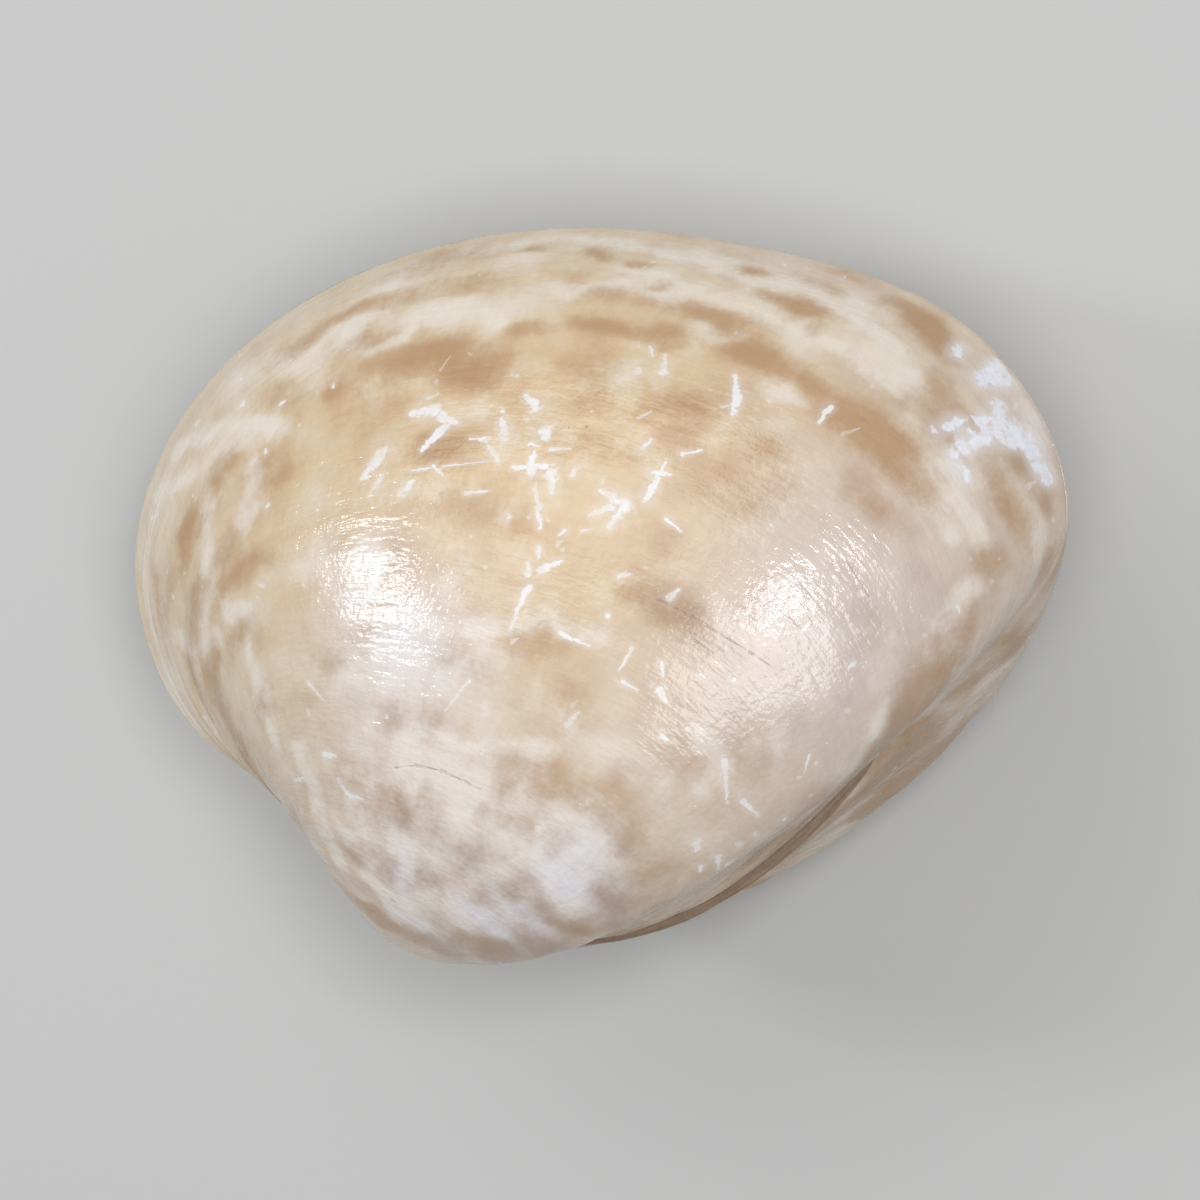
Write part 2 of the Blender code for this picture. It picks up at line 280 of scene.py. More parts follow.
# Colour zones: photo x and y, half length along the growth line, half width across it, strength
AMBER_ZONES = ((560, 430, 15.0, 8.0, 0.75), (700, 450, 9.0, 6.5, 0.7), (600, 600, 9.0, 6.0, 0.6),
               (300, 520, 6.0, 6.0, 0.4), (650, 650, 5.0, 4.0, 0.5), (640, 380, 8.0, 3.0, 0.5))
ROSE_ZONES = ((430, 850, 6.0, 5.0, 0.8), (520, 850, 6.0, 4.0, 0.7), (440, 945, 6.0, 3.0, 0.8),
              (930, 560, 9.0, 8.0, 0.75), (850, 720, 8.0, 6.0, 0.75), (700, 790, 8.0, 5.0, 0.6),
              (820, 250, 7.0, 2.0, 0.6), (1000, 600, 6.0, 5.0, 0.6), (430, 820, 6.0, 4.0, 0.4),
              (400, 650, 6.0, 4.0, 0.35), (950, 400, 4.0, 3.5, 0.3))
LILAC_ZONES_AND_SHEEN = ((502, 914, 2.3, 1.2, 0.95), (486, 926, 1.6, 0.8, 0.9), (532, 922, 1.6, 0.9, 0.9),
               (562, 884, 1.6, 1.3, 0.7), (590, 850, 1.8, 1.4, 0.6), (597, 899, 1.5, 1.1, 0.7),
               (402, 868, 0.8, 1.4, 0.6), (450, 950, 4.0, 1.0, 0.5), (530, 950, 4.0, 1.0, 0.7),
               # The lilac spots at (400, 640), (385, 585), (800, 600), (740, 690) and (860, 640) are
               # painted sheen round the two highlights, and they also turn the tan checks there ashen;
               # (450, 870) is the beak's own lilac.
               (450, 870, 6.0, 5.0, 0.3), (400, 640, 4.0, 4.0, 0.5), (385, 585, 3.5, 3.5, 0.35),
               (800, 600, 4.0, 4.0, 0.4), (740, 690, 5.0, 3.0, 0.3), (860, 640, 4.0, 4.0, 0.3),
               (1040, 425, 2.6, 1.2, 0.45))

# Chalky worn strokes: photo x and y of both ends, half width
CHALK_STROKES = (
    (960, 347, 956, 356, 0.12), (998, 368, 984, 380, 0.30), (1008, 378, 996, 386, 0.10),
    (1003, 425, 1000, 406, 0.18), (988, 428, 1012, 430, 0.42), (1010, 432, 1025, 442, 0.38),
    (1000, 434, 1006, 440, 0.30), (1028, 445, 1036, 463, 0.40), (1036, 463, 1044, 474, 0.30),
    (985, 440, 965, 445, 0.26), (975, 445, 958, 450, 0.16), (962, 424, 943, 431, 0.16),
    (958, 455, 962, 478, 0.06),
)
CHALK_FADE = 1.0

# White chips and scratches: photo x and y of both ends, half width. The dot-sized strokes are partly
# pale specks and partly painted glints on small pits.
CHIPS_AND_GLINTS = (
    (438, 411, 411, 413, 0.34), (440, 417, 456, 423, 0.28), (446, 424, 421, 450, 0.24),
    (426, 399, 440, 396, 0.08), (383, 450, 362, 481, 0.36), (380, 478, 370, 497, 0.20),
    (411, 488, 399, 496, 0.24), (505, 411, 505, 412, 0.18), (504, 442, 500, 415, 0.24),
    (488, 440, 467, 438, 0.16), (497, 458, 485, 446, 0.20), (540, 406, 527, 397, 0.28),
    (546, 436, 547, 440, 0.34), (527, 445, 538, 446, 0.12), (548, 449, 572, 449, 0.10),
    (530, 470, 530, 452, 0.28), (555, 468, 512, 471, 0.20), (551, 468, 556, 492, 0.32),
    (573, 472, 573, 475, 0.26), (540, 505, 542, 528, 0.20), (533, 488, 540, 505, 0.14),
    (464, 495, 487, 493, 0.10), (434, 466, 444, 478, 0.12), (410, 470, 498, 460, 0.06),
    (614, 502, 597, 491, 0.26), (612, 508, 588, 518, 0.22), (626, 506, 612, 528, 0.28),
    (645, 500, 668, 463, 0.20), (655, 475, 672, 475, 0.18),
    (665, 372, 665, 355, 0.22), (637, 370, 638, 370, 0.28), (650, 345, 652, 358, 0.14),
    (736, 395, 734, 416, 0.22), (737, 395, 738, 374, 0.18), (830, 406, 818, 424, 0.15),
    (641, 445, 653, 438, 0.17), (679, 456, 700, 450, 0.12), (664, 517, 680, 531, 0.09),
    (621, 574, 631, 577, 0.14), (668, 595, 677, 590, 0.19), (541, 546, 541, 558, 0.15),
    (528, 575, 527, 560, 0.20), (526, 586, 508, 630, 0.17), (540, 568, 565, 559, 0.20),
    (566, 532, 556, 536, 0.13),
    (579, 531, 590, 529, 0.08), (510, 517, 512, 517, 0.18), (308, 682, 326, 703, 0.10),
    (471, 676, 445, 711, 0.07), (568, 723, 578, 711, 0.14), (295, 781, 307, 776, 0.13),
    (324, 755, 337, 754, 0.17), (337, 778, 348, 792, 0.15), (348, 792, 362, 799, 0.16),
    (557, 634, 592, 649, 0.12), (633, 647, 618, 674, 0.08), (661, 660, 664, 676, 0.10),
    (621, 682, 639, 692, 0.11), (661, 692, 665, 703, 0.19), (666, 736, 667, 737, 0.18),
    (725, 757, 728, 803, 0.15), (743, 800, 760, 816, 0.13), (608, 613, 608, 615, 0.16),
    (753, 834, 756, 833, 0.16), (738, 846, 744, 844, 0.20), (727, 864, 735, 859, 0.14),
    (698, 840, 697, 850, 0.24), (716, 854, 717, 870, 0.16), (701, 866, 702, 872, 0.15),
    (783, 820, 786, 817, 0.14), (736, 678, 735, 682, 0.10), (700, 676, 714, 688, 0.07),
    (851, 664, 851, 668, 0.11), (959, 606, 960, 614, 0.12), (931, 720, 932, 721, 0.11),
    (810, 755, 805, 773, 0.06), (243, 379, 243, 380, 0.17), (259, 421, 260, 421, 0.15),
    (194, 426, 198, 420, 0.15), (265, 453, 268, 449, 0.13), (281, 403, 285, 401, 0.12),
    (334, 386, 334, 387, 0.11), (153, 517, 157, 514, 0.12), (268, 504, 269, 505, 0.17),
    (244, 404, 246, 405, 0.20), (843, 277, 844, 278, 0.09), (784, 264, 787, 266, 0.09),
)

# Pale wavy lines: photo x and y along each
PALE_LINES = (
    ((276, 358), (315, 349), (332, 332), (371, 350), (397, 343), (409, 323), (431, 306),
     (465, 304), (504, 321)),
    ((173, 452), (212, 435), (259, 422), (280, 426)), ((156, 495), (177, 478), (195, 469)),
    ((212, 495), (199, 530), (207, 558)), ((204, 555), (208, 589), (235, 609)),
    ((159, 633), (189, 648), (218, 633)), ((243, 613), (248, 653), (262, 702), (277, 746)),
    ((301, 746), (311, 785), (326, 829), (341, 863)), ((346, 829), (400, 839), (444, 858), (473, 878)),
    ((397, 785), (395, 834)), ((444, 814), (473, 844)), ((409, 883), (444, 912), (483, 942), (512, 956)),
    ((365, 878), (424, 927), (444, 947)), ((493, 814), (542, 805), (581, 814)),
    ((473, 623), (542, 628), (600, 638)), ((404, 731), (473, 741), (551, 746)),
    ((520, 241), (587, 238), (688, 258)), ((576, 292), (632, 286), (677, 303)),
    ((626, 269), (688, 292), (766, 297)), ((761, 280), (811, 286), (834, 308)),
    ((766, 320), (800, 330), (840, 350)), ((856, 297), (862, 320), (906, 359)),
    ((867, 370), (878, 381), (923, 415)), ((946, 465), (968, 510), (985, 544)),
    ((929, 471), (951, 532)), ((1018, 476), (1024, 521)), ((945, 620), (975, 590)),
    ((398, 775), (420, 773), (446, 779), (470, 790)), ((444, 790), (440, 830), (452, 862)),
    ((493, 812), (486, 850), (500, 890)), ((540, 806), (536, 850), (545, 880)),
    ((473, 878), (540, 872), (590, 850)),
    ((400, 870), (410, 905), (430, 930)), ((905, 690), (930, 662), (950, 640)), ((880, 725), (905, 690)),
    ((250, 470), (255, 500), (240, 525)), ((700, 730), (720, 760), (700, 790)),
)
PALE_LINE_WIDTH = 0.14
PALE_LINE_FADE = 0.9
PALE_LINE_STRENGTH = 0.9

# Fine scored lines and pits: photo x and y of both ends, half width. Their dark paint is partly their
# own tone and partly painted shade in the grooves and pits.
SCORES = (
    (655, 598, 690, 614, 0.05), (690, 614, 745, 652, 0.06), (745, 652, 772, 667, 0.05),
    (690, 640, 712, 655, 0.05), (395, 769, 415, 767, 0.05), (415, 767, 440, 770, 0.09),
    (440, 770, 462, 779, 0.10), (462, 779, 482, 790, 0.07), (850, 560, 872, 600, 0.05),
    (587, 426, 588, 426, 0.08), (569, 425, 570, 426, 0.05), (391, 900, 395, 902, 0.14),
    (370, 911, 375, 913, 0.12), (383, 893, 386, 894, 0.08), (365, 925, 380, 934, 0.07),
)

# Paints of the shell and the horn, as linear colour
PAINTS = {
    "Cream": (0.69, 0.56, 0.41), "Pale": (0.79, 0.715, 0.62), "Amber": (0.67, 0.49, 0.295),
    "Tan": (0.46, 0.28, 0.15), "Ash": (0.43, 0.315, 0.245), "Rose": (0.62, 0.51, 0.43),
    # The chip white also paints glints on small pits, and the score brown partly paints shade in grooves
    # and pits.
    "Chalk": (0.84, 0.85, 0.92), "ChippedAndGlint": (0.82, 0.79, 0.78), "ScoredAndShade": (0.22, 0.15, 0.11),
}
LILAC_TINT = (1.03, 1.10, 1.36, 1.0)
WHITE = (1.0, 1.0, 1.0, 1.0)
RIGHT_TINT = (1.0, 1.0, 1.0)
LEFT_TINT = (0.97, 0.96, 0.95)
HORN_DARK = (0.17, 0.11, 0.072, 1.0)
HORN_LIGHT = (0.41, 0.285, 0.20, 1.0)

# The shell's fields, as its mesh holds them
FIELDS = ("growth_place", "zones", "marks", "chip_place", "speck_place", "score_place")
# Noises of the shell: scale per millimetre, detail, roughness
PLACE_NOISES = {"grain": (2.6, 2.0, 0.6), "cloud": (0.42, 2.0, 0.55), "flake": (1.7, 2.0, 0.55)}
# Noises drawn out along its growth lines: fineness round the shell and over its growth, detail
GROWTH_NOISES = {"streak": (10.0, 3.8, 2.0), "block": (6.0, 0.5, 1.5), "scratch": (42.0, 1.1, 1.0)}
# Mottling: its level, the weight of each noise in it, and its weight in each mark
MOTTLE_LEVEL = -2.45
MOTTLE = {"block": 2.2, "cloud": 1.7, "grain": 1.0}
AMBER_MOTTLE = 0.5
ROSE_MOTTLE = 0.3
PALE_MOTTLE = -0.45
TAN_MOTTLE = 0.4
# Lilac adds to the pale marks, and turns tan ones ashen
LILAC_PALENESS = 0.15
LILAC_ASH = 2.5
# Fine shading: how far each noise swings the paint's brightness
SHADES = {"streak": 0.09, "scratch": 0.08, "grain": 0.10}
# Smooth rises: from, to, and the values at both ends
PALE_COVER = (-0.1, 0.9, 0.0, 0.9)
TAN_COVER = (0.0, 1.0, 0.0, 0.9)
CHALK_HAZE = (0.0, 0.9, 0.0, 0.4)
CHALK_COVER = (0.5, 1.0, 0.0, 1.0)
CHALK_FLECKS = (0.3, 0.6, 0.75, 1.0)
WORN_FLECKS = (0.35, 0.55, 0.55, 1.0)
SCORE_FLECKS = (0.35, 0.6, 0.3, 1.0)
# Chips, in half widths: size at both ends, share of the length before the end rounds off, haze
CHIP_TAPER = (1.3, 0.5)
CHIP_LENGTH = 0.9
HAZE_REACH = 4.0
CHIP_HAZE = 0.22
# Softness of the edges, cover, and swing of the noises that make the edges uneven
CHIP_SOFTNESS = 0.6
SPECK_SOFTNESS = 0.5
SCORE_SOFTNESS = 0.6
SPECK_COVER = 0.45
SCORE_COVER = 0.3
CHALK_RAGGED = 1.2
CHIP_RAGGED = 2.2
CHIP_BEND = 2.4
# The finish: refraction, roughness, bump height in millimetres, and what adds to them
SHELL_IOR = 1.55
SHELL_ROUGHNESS = 0.07
ROUGHNESS = {"grain": 0.16, "chalk": 0.3, "worn": 0.2}
SHELL_RELIEF = 0.05
HEIGHT = {"grain": 0.8, "streak": 1.1, "scratch": 0.35, "chalk": -0.5, "worn": -0.45, "score": -0.7}
# The ligament: its fibres and its grain, and what the fibres add to its roughness
HORN_FIBRES = {"Round": 3.0, "Age": 0.5, "Detail": 4.0}
HORN_GRAIN = (3.0, 3.0, 0.55)
HORN_GRAIN_SHARE = 0.5
HORN_ROUGHNESS = 0.35
FIBRE_ROUGHNESS = 0.3
HORN_RELIEF = 0.06

# Soft lights: direction along the view's right, up and back, distance and size in metres, power, colour
LIGHTS = {
    "overhead_softbox": ((0.09, 0.16, 0.98), 0.5, (0.08, 0.09), 0.44, (0.88, 0.94, 1.0)),
    "side_softbox": ((-0.92, 0.15, 0.35), 0.5, (0.08, 0.12), 0.46, (0.88, 0.94, 1.0)),
    "window_softbox": ((-0.50, 0.56, 0.66), 0.6, (0.5, 0.4), 1.0, (1.0, 1.0, 1.0)),
    "front_softbox": ((0.02, -0.10, 0.98), 0.65, (0.4, 0.4), 2.1, (1.0, 1.0, 1.0)),
}
SURROUND_PAINT = (1.0, 0.985, 0.96, 1.0)
SURROUND_LIGHT = 0.25
# The floor, in metres: half its side, and a hair's breadth that it lies below the shell
FLOOR_HALF = 3.0
FLOOR_DROP = 0.00005
FLOOR_PAINT = (0.55, 0.55, 0.54, 1.0)
FLOOR_ROUGHNESS = 0.9


def smooth_step(x):
    """Rises from 0 to 1 with level ends while x goes from 0 to 1."""
    x = np.clip(x, 0.0, 1.0)
    return x * x * (3.0 - 2.0 * x)


def unit(vectors):
    """The same directions, each one long."""
    return vectors / np.maximum(np.linalg.norm(vectors, axis=-1, keepdims=True), 1e-12)


def closed_curve(corners, count):
    """Smooth closed curve: a periodic cubic spline through the corners.

    The slope at each corner makes the curvature run on unbroken, and the
    spline's parameter grows by the root of the distance between corners.
    """
    total = len(corners)
    step = np.sqrt(np.linalg.norm(np.roll(corners, -1, 0) - corners, axis=1))
    matrix = np.zeros((total, total))
    known = np.zeros((total, 2))
    for i in range(total):
        before, after = step[i - 1], step[i]
        ahead, behind = (i + 1) % total, i - 1
        matrix[i, behind] += after
        matrix[i, i] += 2.0 * (before + after)
        matrix[i, ahead] += before
        rise_after = (corners[ahead] - corners[i]) * before / after
        rise_before = (corners[i] - corners[behind]) * after / before
        known[i] = 3.0 * (rise_after + rise_before)
    slope = np.linalg.solve(matrix, known)
    start = np.concatenate(([0.0], np.cumsum(step)))
    place = np.linspace(0.0, start[-1], count, endpoint=False)
    span = np.searchsorted(start, place, side="right") - 1
    following = (span + 1) % total
    length = step[span][:, None]
    t = ((place - start[span]) / step[span])[:, None]
    return ((2 * t**3 - 3 * t**2 + 1) * corners[span]
            + (t**3 - 2 * t**2 + t) * length * slope[span]
            + (3 * t**2 - 2 * t**3) * corners[following]
            + (t**3 - t**2) * length * slope[following])


def drawn_in(turns):
    """Taper summed over the turn: the rate a + b t + c t^2 integrated from the seam."""
    return TAPER[0] * turns + TAPER[1] * turns**2 / 2 + TAPER[2] * turns**3 / 3


def bearing_of(outline):
    """Direction of each outline point from the outline's middle."""
    spoke = outline - OUTLINE_MIDDLE
    return np.arctan2(spoke[:, 1], spoke[:, 0])


def growth_lines(outline, turns):
    """Growth lines of the right valve, one row for each turn from the seam.

    A point of the outline is turned about the coil axis and drawn towards
    the coil centre by exp(-k), where k is the taper rate summed over the turn.
    """
    lean, dip = AXIS_LEAN, AXIS_DIP
    axis = np.array((np.cos(lean) * np.cos(dip), np.sin(lean) * np.cos(dip), np.sin(dip)))
    arm = np.column_stack((outline, np.zeros(len(outline)))) - COIL_CENTRE
    along = (arm @ axis)[:, None] * axis
    cos = np.cos(turns)[:, None, None]
    sin = np.sin(turns)[:, None, None]
    turned = along + (arm - along) * cos + np.cross(axis, arm) * sin
    share = 1.0 - BACK_SWELL * np.cos(bearing_of(outline) - BACK_DIRECTION)
    size = np.exp(-drawn_in(turns)[:, None] * share)
    return COIL_CENTRE + turned * size[:, :, None]


def outward(outline):
    """Unit vectors in the seam plane that point away from the outline."""
    tangent = unit(np.roll(outline, -1, 0) - np.roll(outline, 1, 0))
    return np.column_stack((tangent[:, 1], -tangent[:, 0]))


def ligament_groove(points, outline, turns):
    """Sinks the hinge edge behind the beaks: a bell-shaped groove across the seam."""
    behind = smooth_step((outline[:, 0] - GROOVE_FROM) / GROOVE_FADE)
    before = smooth_step((GROOVE_TO - outline[:, 0]) / GROOVE_FADE)
    on_hinge = outline[:, 1] < HINGE_REACH
    across = np.exp(-(points[:, :, 2] / GROOVE_WIDTH) ** 2)
    early = (turns < GROOVE_TURN)[:, None]
    depth = GROOVE_DEPTH * across * (behind * before * on_hinge)[None, :] * early
    sunk = points.copy()
    sunk[:, :, :2] -= depth[:, :, None] * outward(outline)[None, :, :]
    return sunk


def inner_lines(outline, turns):
    """Lines of the hollow: growth lines drawn in towards their middle by the wall."""
    lines = growth_lines(outline, turns)
    inward = lines.mean(axis=1, keepdims=True) - lines
    reach = np.linalg.norm(inward, axis=2, keepdims=True)
    hinge = smooth_step((HINGE_REACH - outline[:, 1]) / HINGE_FADE)
    wall = WALL + (HINGE_WALL - WALL) * hinge
    slant = np.sqrt(1.0 + (TAPER[0] + TAPER[1] * turns + TAPER[2] * turns**2) ** 2)
    drawn = np.minimum(wall[None, :] * slant[:, None], WALL_LIMIT * reach[:, :, 0])
    return lines + inward / reach * drawn[:, :, None]


def stay_on_side(points):
    """Keeps a valve on its own side: Z never drops below the half gap by more than a hair."""
    z = points[..., 2]
    kept = points.copy()
    rise = 0.5 * (z + np.sqrt(z * z + TOUCH_EASE**2))
    kept[..., 2] = (SEAM_GAP - TOUCH_EASE) / 2 + rise
    return kept


def ligament_rows(rings, sides):
    """Rings of points along the ligament: ellipses that narrow at both ends."""
    t = np.linspace(0.0, 1.0, rings)[:, None]
    p0, p1, p2, p3 = LIGAMENT_PATH
    path = (1 - t)**3 * p0 + 3 * (1 - t)**2 * t * p1 + 3 * (1 - t) * t**2 * p2 + t**3 * p3
    heading = unit(np.gradient(path, axis=0))
    up = np.column_stack((heading[:, 1], -heading[:, 0]))
    size = LIGAMENT_TIP + (1 - LIGAMENT_TIP) * np.sqrt(1 - (2 * t - 1) ** 4)
    angle = np.linspace(0.0, 2 * np.pi, sides, endpoint=False)[None, :]
    rise = LIGAMENT_DEPTH * size * np.cos(angle)
    plane = path[:, None, :] + up[:, None, :] * rise[:, :, None]
    side = LIGAMENT_WIDTH * size * np.sin(angle)
    return np.concatenate((plane, side[:, :, None]), axis=2)


def turn_about(axis, angle):
    """Matrix of a turn about X, axis 0, or Y, axis 1."""
    i, j = (axis + 1) % 3, (axis + 2) % 3
    matrix = np.eye(3)
    matrix[i, i] = matrix[j, j] = np.cos(angle)
    matrix[j, i] = np.sin(angle)
    matrix[i, j] = -matrix[j, i]
    return matrix


def row_place(points):
    """Shell axes to the row frame: turned to the balance, and moved to the footprint's middle.

    The ligament's solid, whose points are known in both, gives the row frame's origin.
    """
    return points @ BALANCE.T - ROW_ORIGIN


BALANCE = turn_about(1, BALANCE_PITCH) @ turn_about(0, BALANCE_ROLL)
SOLID_LIGAMENT = ligament_rows(SOLID_RINGS, SOLID_SIDES).reshape(-1, 3) @ BALANCE.T
ROW_ORIGIN = SOLID_LIGAMENT.min(axis=0) - np.array(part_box("ligament")[0]) / MM
VIEW_AXES = turn_about(1, VIEW_TILT_Y) @ turn_about(0, VIEW_TILT_X)
VIEW_PLACE = VIEW_CENTRE + VIEW_DISTANCE * VIEW_AXES[2]


def photo_place(points):
    """Where points in shell axes fall in the photograph, in pixels."""
    seen = (points - VIEW_CENTRE) @ VIEW_AXES.T
    scale = PIXELS_PER_MM * VIEW_DISTANCE / (VIEW_DISTANCE - seen[..., 2])
    return np.stack((PHOTO_CENTRE[0] + scale * seen[..., 0],
                     PHOTO_CENTRE[1] - scale * seen[..., 1]), axis=-1)


def lattice_noise(points, size, seed):
    """Value noise from -1 to 1: random numbers on a cubic lattice, blended smoothly between corners."""
    numbers = np.random.default_rng(seed).random(NOISE_NUMBERS) * 2.0 - 1.0
    cell = np.floor(points / size).astype(np.int64)
    share = smooth_step(points / size - cell)
    total = np.zeros(points.shape[:-1])
    for corner in np.ndindex(2, 2, 2):
        x, y, z = np.moveaxis((cell + np.array(corner)) * NOISE_PRIMES, -1, 0)
        pick = (x ^ y ^ z) % NOISE_NUMBERS
        weight = np.where(np.array(corner) == 1, share, 1.0 - share).prod(axis=-1)
        total += numbers[pick] * weight
    return total


def warped(points, reach, size, seed):
    """Points moved about by noise, so that what is drawn on them has an uneven edge."""
    shift = np.stack([lattice_noise(points, size, seed + i) for i in range(3)], axis=-1)
    return points + reach * shift


def row_turns(outline):
    """Turns of the outside rows: even steps along the belly, and finer ones round the lip."""
    fine = np.linspace(0.0, COIL_TURN, BELLY_STEPS)
    belly = int(np.argmax(outline[:, 1]))
    line = growth_lines(outline, fine)[:, belly]
    run = np.concatenate(([0.0], np.cumsum(np.linalg.norm(np.diff(line, axis=0), axis=1))))
    lip_angle = np.linspace(0.0, np.pi / 2, LIP_ROWS, endpoint=False)
    lip = LIP_RADIUS * (1.0 - np.cos(lip_angle))
    even = np.linspace(LIP_RADIUS, run[-1], OUTSIDE_ROWS - LIP_ROWS)
    return np.interp(np.concatenate((lip, even)), run, fine)[::-1]


def round_lip(points, outline):
    """Rounds the outer edge at the seam: a quarter circle in height and inward shift."""
    height = np.clip((points[:, :, 2] - SEAM_GAP / 2) / LIP_RADIUS, 0.0, 1.0)
    shift = LIP_RADIUS * (1.0 - np.sqrt(np.clip(1.0 - (1.0 - height) ** 2, 0.0, 1.0)))
    near_seam = np.abs(points[:, :, 2]) < 2 * LIP_RADIUS
    rounded = points.copy()
    rounded[:, :, :2] -= (shift * near_seam)[:, :, None] * outward(outline)[None, :, :]
    return rounded


def growth_relief(growth, bearing, points, seed):
    """Height of the growth relief: waves of several lengths whose phase wanders with age.

    Each wave's strength drifts over the shell, and its crests shift a little
    round it. Dimples are noise of a small size.
    """
    rng = np.random.default_rng(seed)
    height = np.zeros_like(growth)
    ages = np.linspace(-AGE_MARGIN, SHELL_HEIGHT + AGE_MARGIN, AGE_STEPS)
    for length, size in GROWTH_WAVES:
        wander = np.cumsum(rng.normal(0.0, PHASE_WANDER, len(ages)))
        phase = 2 * np.pi * growth / length + np.interp(growth, ages, wander)
        phase = phase + rng.uniform(*PHASE_SWING) * np.sin(bearing * 2 + rng.uniform(*PHASE_START))
        drift = lattice_noise(points, DRIFT_SIZE, int(rng.integers(*DRAWN_SEEDS)))
        height += size * (STRENGTH_MEAN + STRENGTH_DRIFT * drift) * np.sin(phase)
    for size, depth in DIMPLES:
        height += depth * lattice_noise(points, size, int(rng.integers(*DRAWN_SEEDS)))
    return height


def normals_of(points):
    """Outward unit normals of a grid that closes on itself along its second axis."""
    around = np.roll(points, -1, axis=1) - np.roll(points, 1, axis=1)
    along = np.gradient(points, axis=0)
    normal = unit(np.cross(around, along))
    outside = np.sum(normal * (points - points.mean(axis=(0, 1))), axis=-1).mean()
    return normal if outside > 0 else -normal


def frame_at(points, row, column):
    """A point of the grid, and the unit directions along and across its growth line there."""
    around = points.shape[1]
    along = unit(points[row, (column + 2) % around] - points[row, (column - 2) % around])
    low, high = max(row - 2, 0), min(row + 2, len(points) - 1)
    across = points[high, column] - points[low, column]
    across = unit(across - (across @ along) * along)
    return points[row, column], along, across


def facing_of(points, normals):
    """How far each point faces the camera: the cosine between its normal and the line of sight."""
    return np.sum(normals * unit(VIEW_PLACE - points), axis=-1)


def seen_places(points, normals):
    """Pixels of the grid points; those that face away are put far outside the photograph."""
    hidden = facing_of(points, normals) < SEEN_POINT
    return photo_place(points) + OFF_PHOTO * hidden[..., None]


def nearest_seen(places, x, y):
    """Row and column of the grid point that the photograph shows at a pixel."""
    miss = np.hypot(places[..., 0] - x, places[..., 1] - y)
    return np.unravel_index(int(miss.argmin()), miss.shape)


def spot_field(points, spots, falloff):
    """Strength of soft oval spots: 1 minus the product of what each leaves uncovered.

    A spot covers strength times exp(-fade d^(2 falloff)), where d is the
    distance from its middle in half sizes.
    """
    bare = np.ones(points.shape[:-1])
    for (centre, along, across), length, width, strength in spots:
        length, width = length * SPOT_SPREAD, width * SPOT_SPREAD
        depth = 0.5 * (length + width) + SPOT_DEPTH
        arm = points - centre
        deep = np.cross(along, across)
        far = ((arm @ along) / length) ** 2 + ((arm @ across) / width) ** 2 + ((arm @ deep) / depth) ** 2
        bare *= 1.0 - strength * np.exp(-(far**falloff) * SPOT_FADE)
    return 1.0 - bare


def seen_spots(points, places, table):
    """Spots of a table whose places are given in the photograph."""
    return [(frame_at(points, *nearest_seen(places, x, y)), length, width, strength)
            for x, y, length, width, strength in table]


def hidden_spots(points, normals, growth, bearing, seed, strength):
    """Checks in rings along the growth lines, where the photograph shows nothing."""
    rng = np.random.default_rng(seed)
    spots = []
    facing = facing_of(points, normals)
    for age in np.arange(FIRST_RING, LAST_RING, RING_STEP):
        row = int(np.abs(growth[:, 0] - age).argmin())
        count = max(FEWEST_CHECKS, int(round(2 * np.pi * RING_RADIUS * age / CHECK_STEP)))
        for i in range(count):
            angle = 2 * np.pi * (i + rng.uniform(-CHECK_SHIFT, CHECK_SHIFT)) / count
            shape = rng.uniform(*CHECK_LENGTHS), rng.uniform(*CHECK_WIDTHS)
            force = strength * rng.uniform(*CHECK_FORCES) * (rng.random() < CHECK_CHANCE)
            gap = np.abs((bearing[row] - angle + np.pi) % (2 * np.pi) - np.pi)
            column = int(gap.argmin())
            if force > 0 and facing[row, column] < SEEN_CHECK:
                spots.append((frame_at(points, row, column), *shape, force))
    return spots


def speck_strokes(points, normals, seed, count, hidden):
    """Small chips and short scratches scattered by chance over the hidden or the seen outside."""
    rng = np.random.default_rng(seed)
    facing = facing_of(points, normals)
    strokes = []
    while len(strokes) < count:
        row = int(rng.integers(BEAK_ROWS, len(points) - SEAM_ROWS))
        column = int(rng.integers(0, points.shape[1]))
        keep = rng.random() < (row / len(points)) ** SPECK_CROWDING
        centre, along, across = frame_at(points, row, column)
        angle = rng.uniform(0, np.pi)
        half = rng.choice(SPECK_LENGTHS, p=SPECK_ODDS) * rng.uniform(*SPECK_STRETCH)
        width = rng.uniform(*SPECK_WIDTHS)
        run = half * (np.cos(angle) * along + np.sin(angle) * across)
        if keep and (facing[row, column] < SEEN_SPECK) == hidden:
            strokes.append((centre - run, centre + run, width))
    return strokes


def seen_strokes(points, places, table):
    """Both ends of each stroke of a table on the surface, and its half width."""
    return [(points[nearest_seen(places, x0, y0)], points[nearest_seen(places, x1, y1)], width)
            for x0, y0, x1, y1, width in table]


def stroke_gap(points, start, end, width):
    """Distance of points from a stroke's edge, below 0 inside it."""
    run = end - start
    share = np.clip(((points - start) @ run) / max(run @ run, 1e-9), 0.0, 1.0)
    return np.linalg.norm(points - start - share[..., None] * run, axis=-1) - width


def stroke_field(points, strokes, fade):
    """Closeness to the nearest stroke: 1 on it, falling to 0 at the fade distance from its edge."""
    field = np.zeros(points.shape[:-1])
    for stroke in strokes:
        field = np.maximum(field, 1.0 - np.clip(stroke_gap(points, *stroke), 0.0, fade) / fade)
    return field


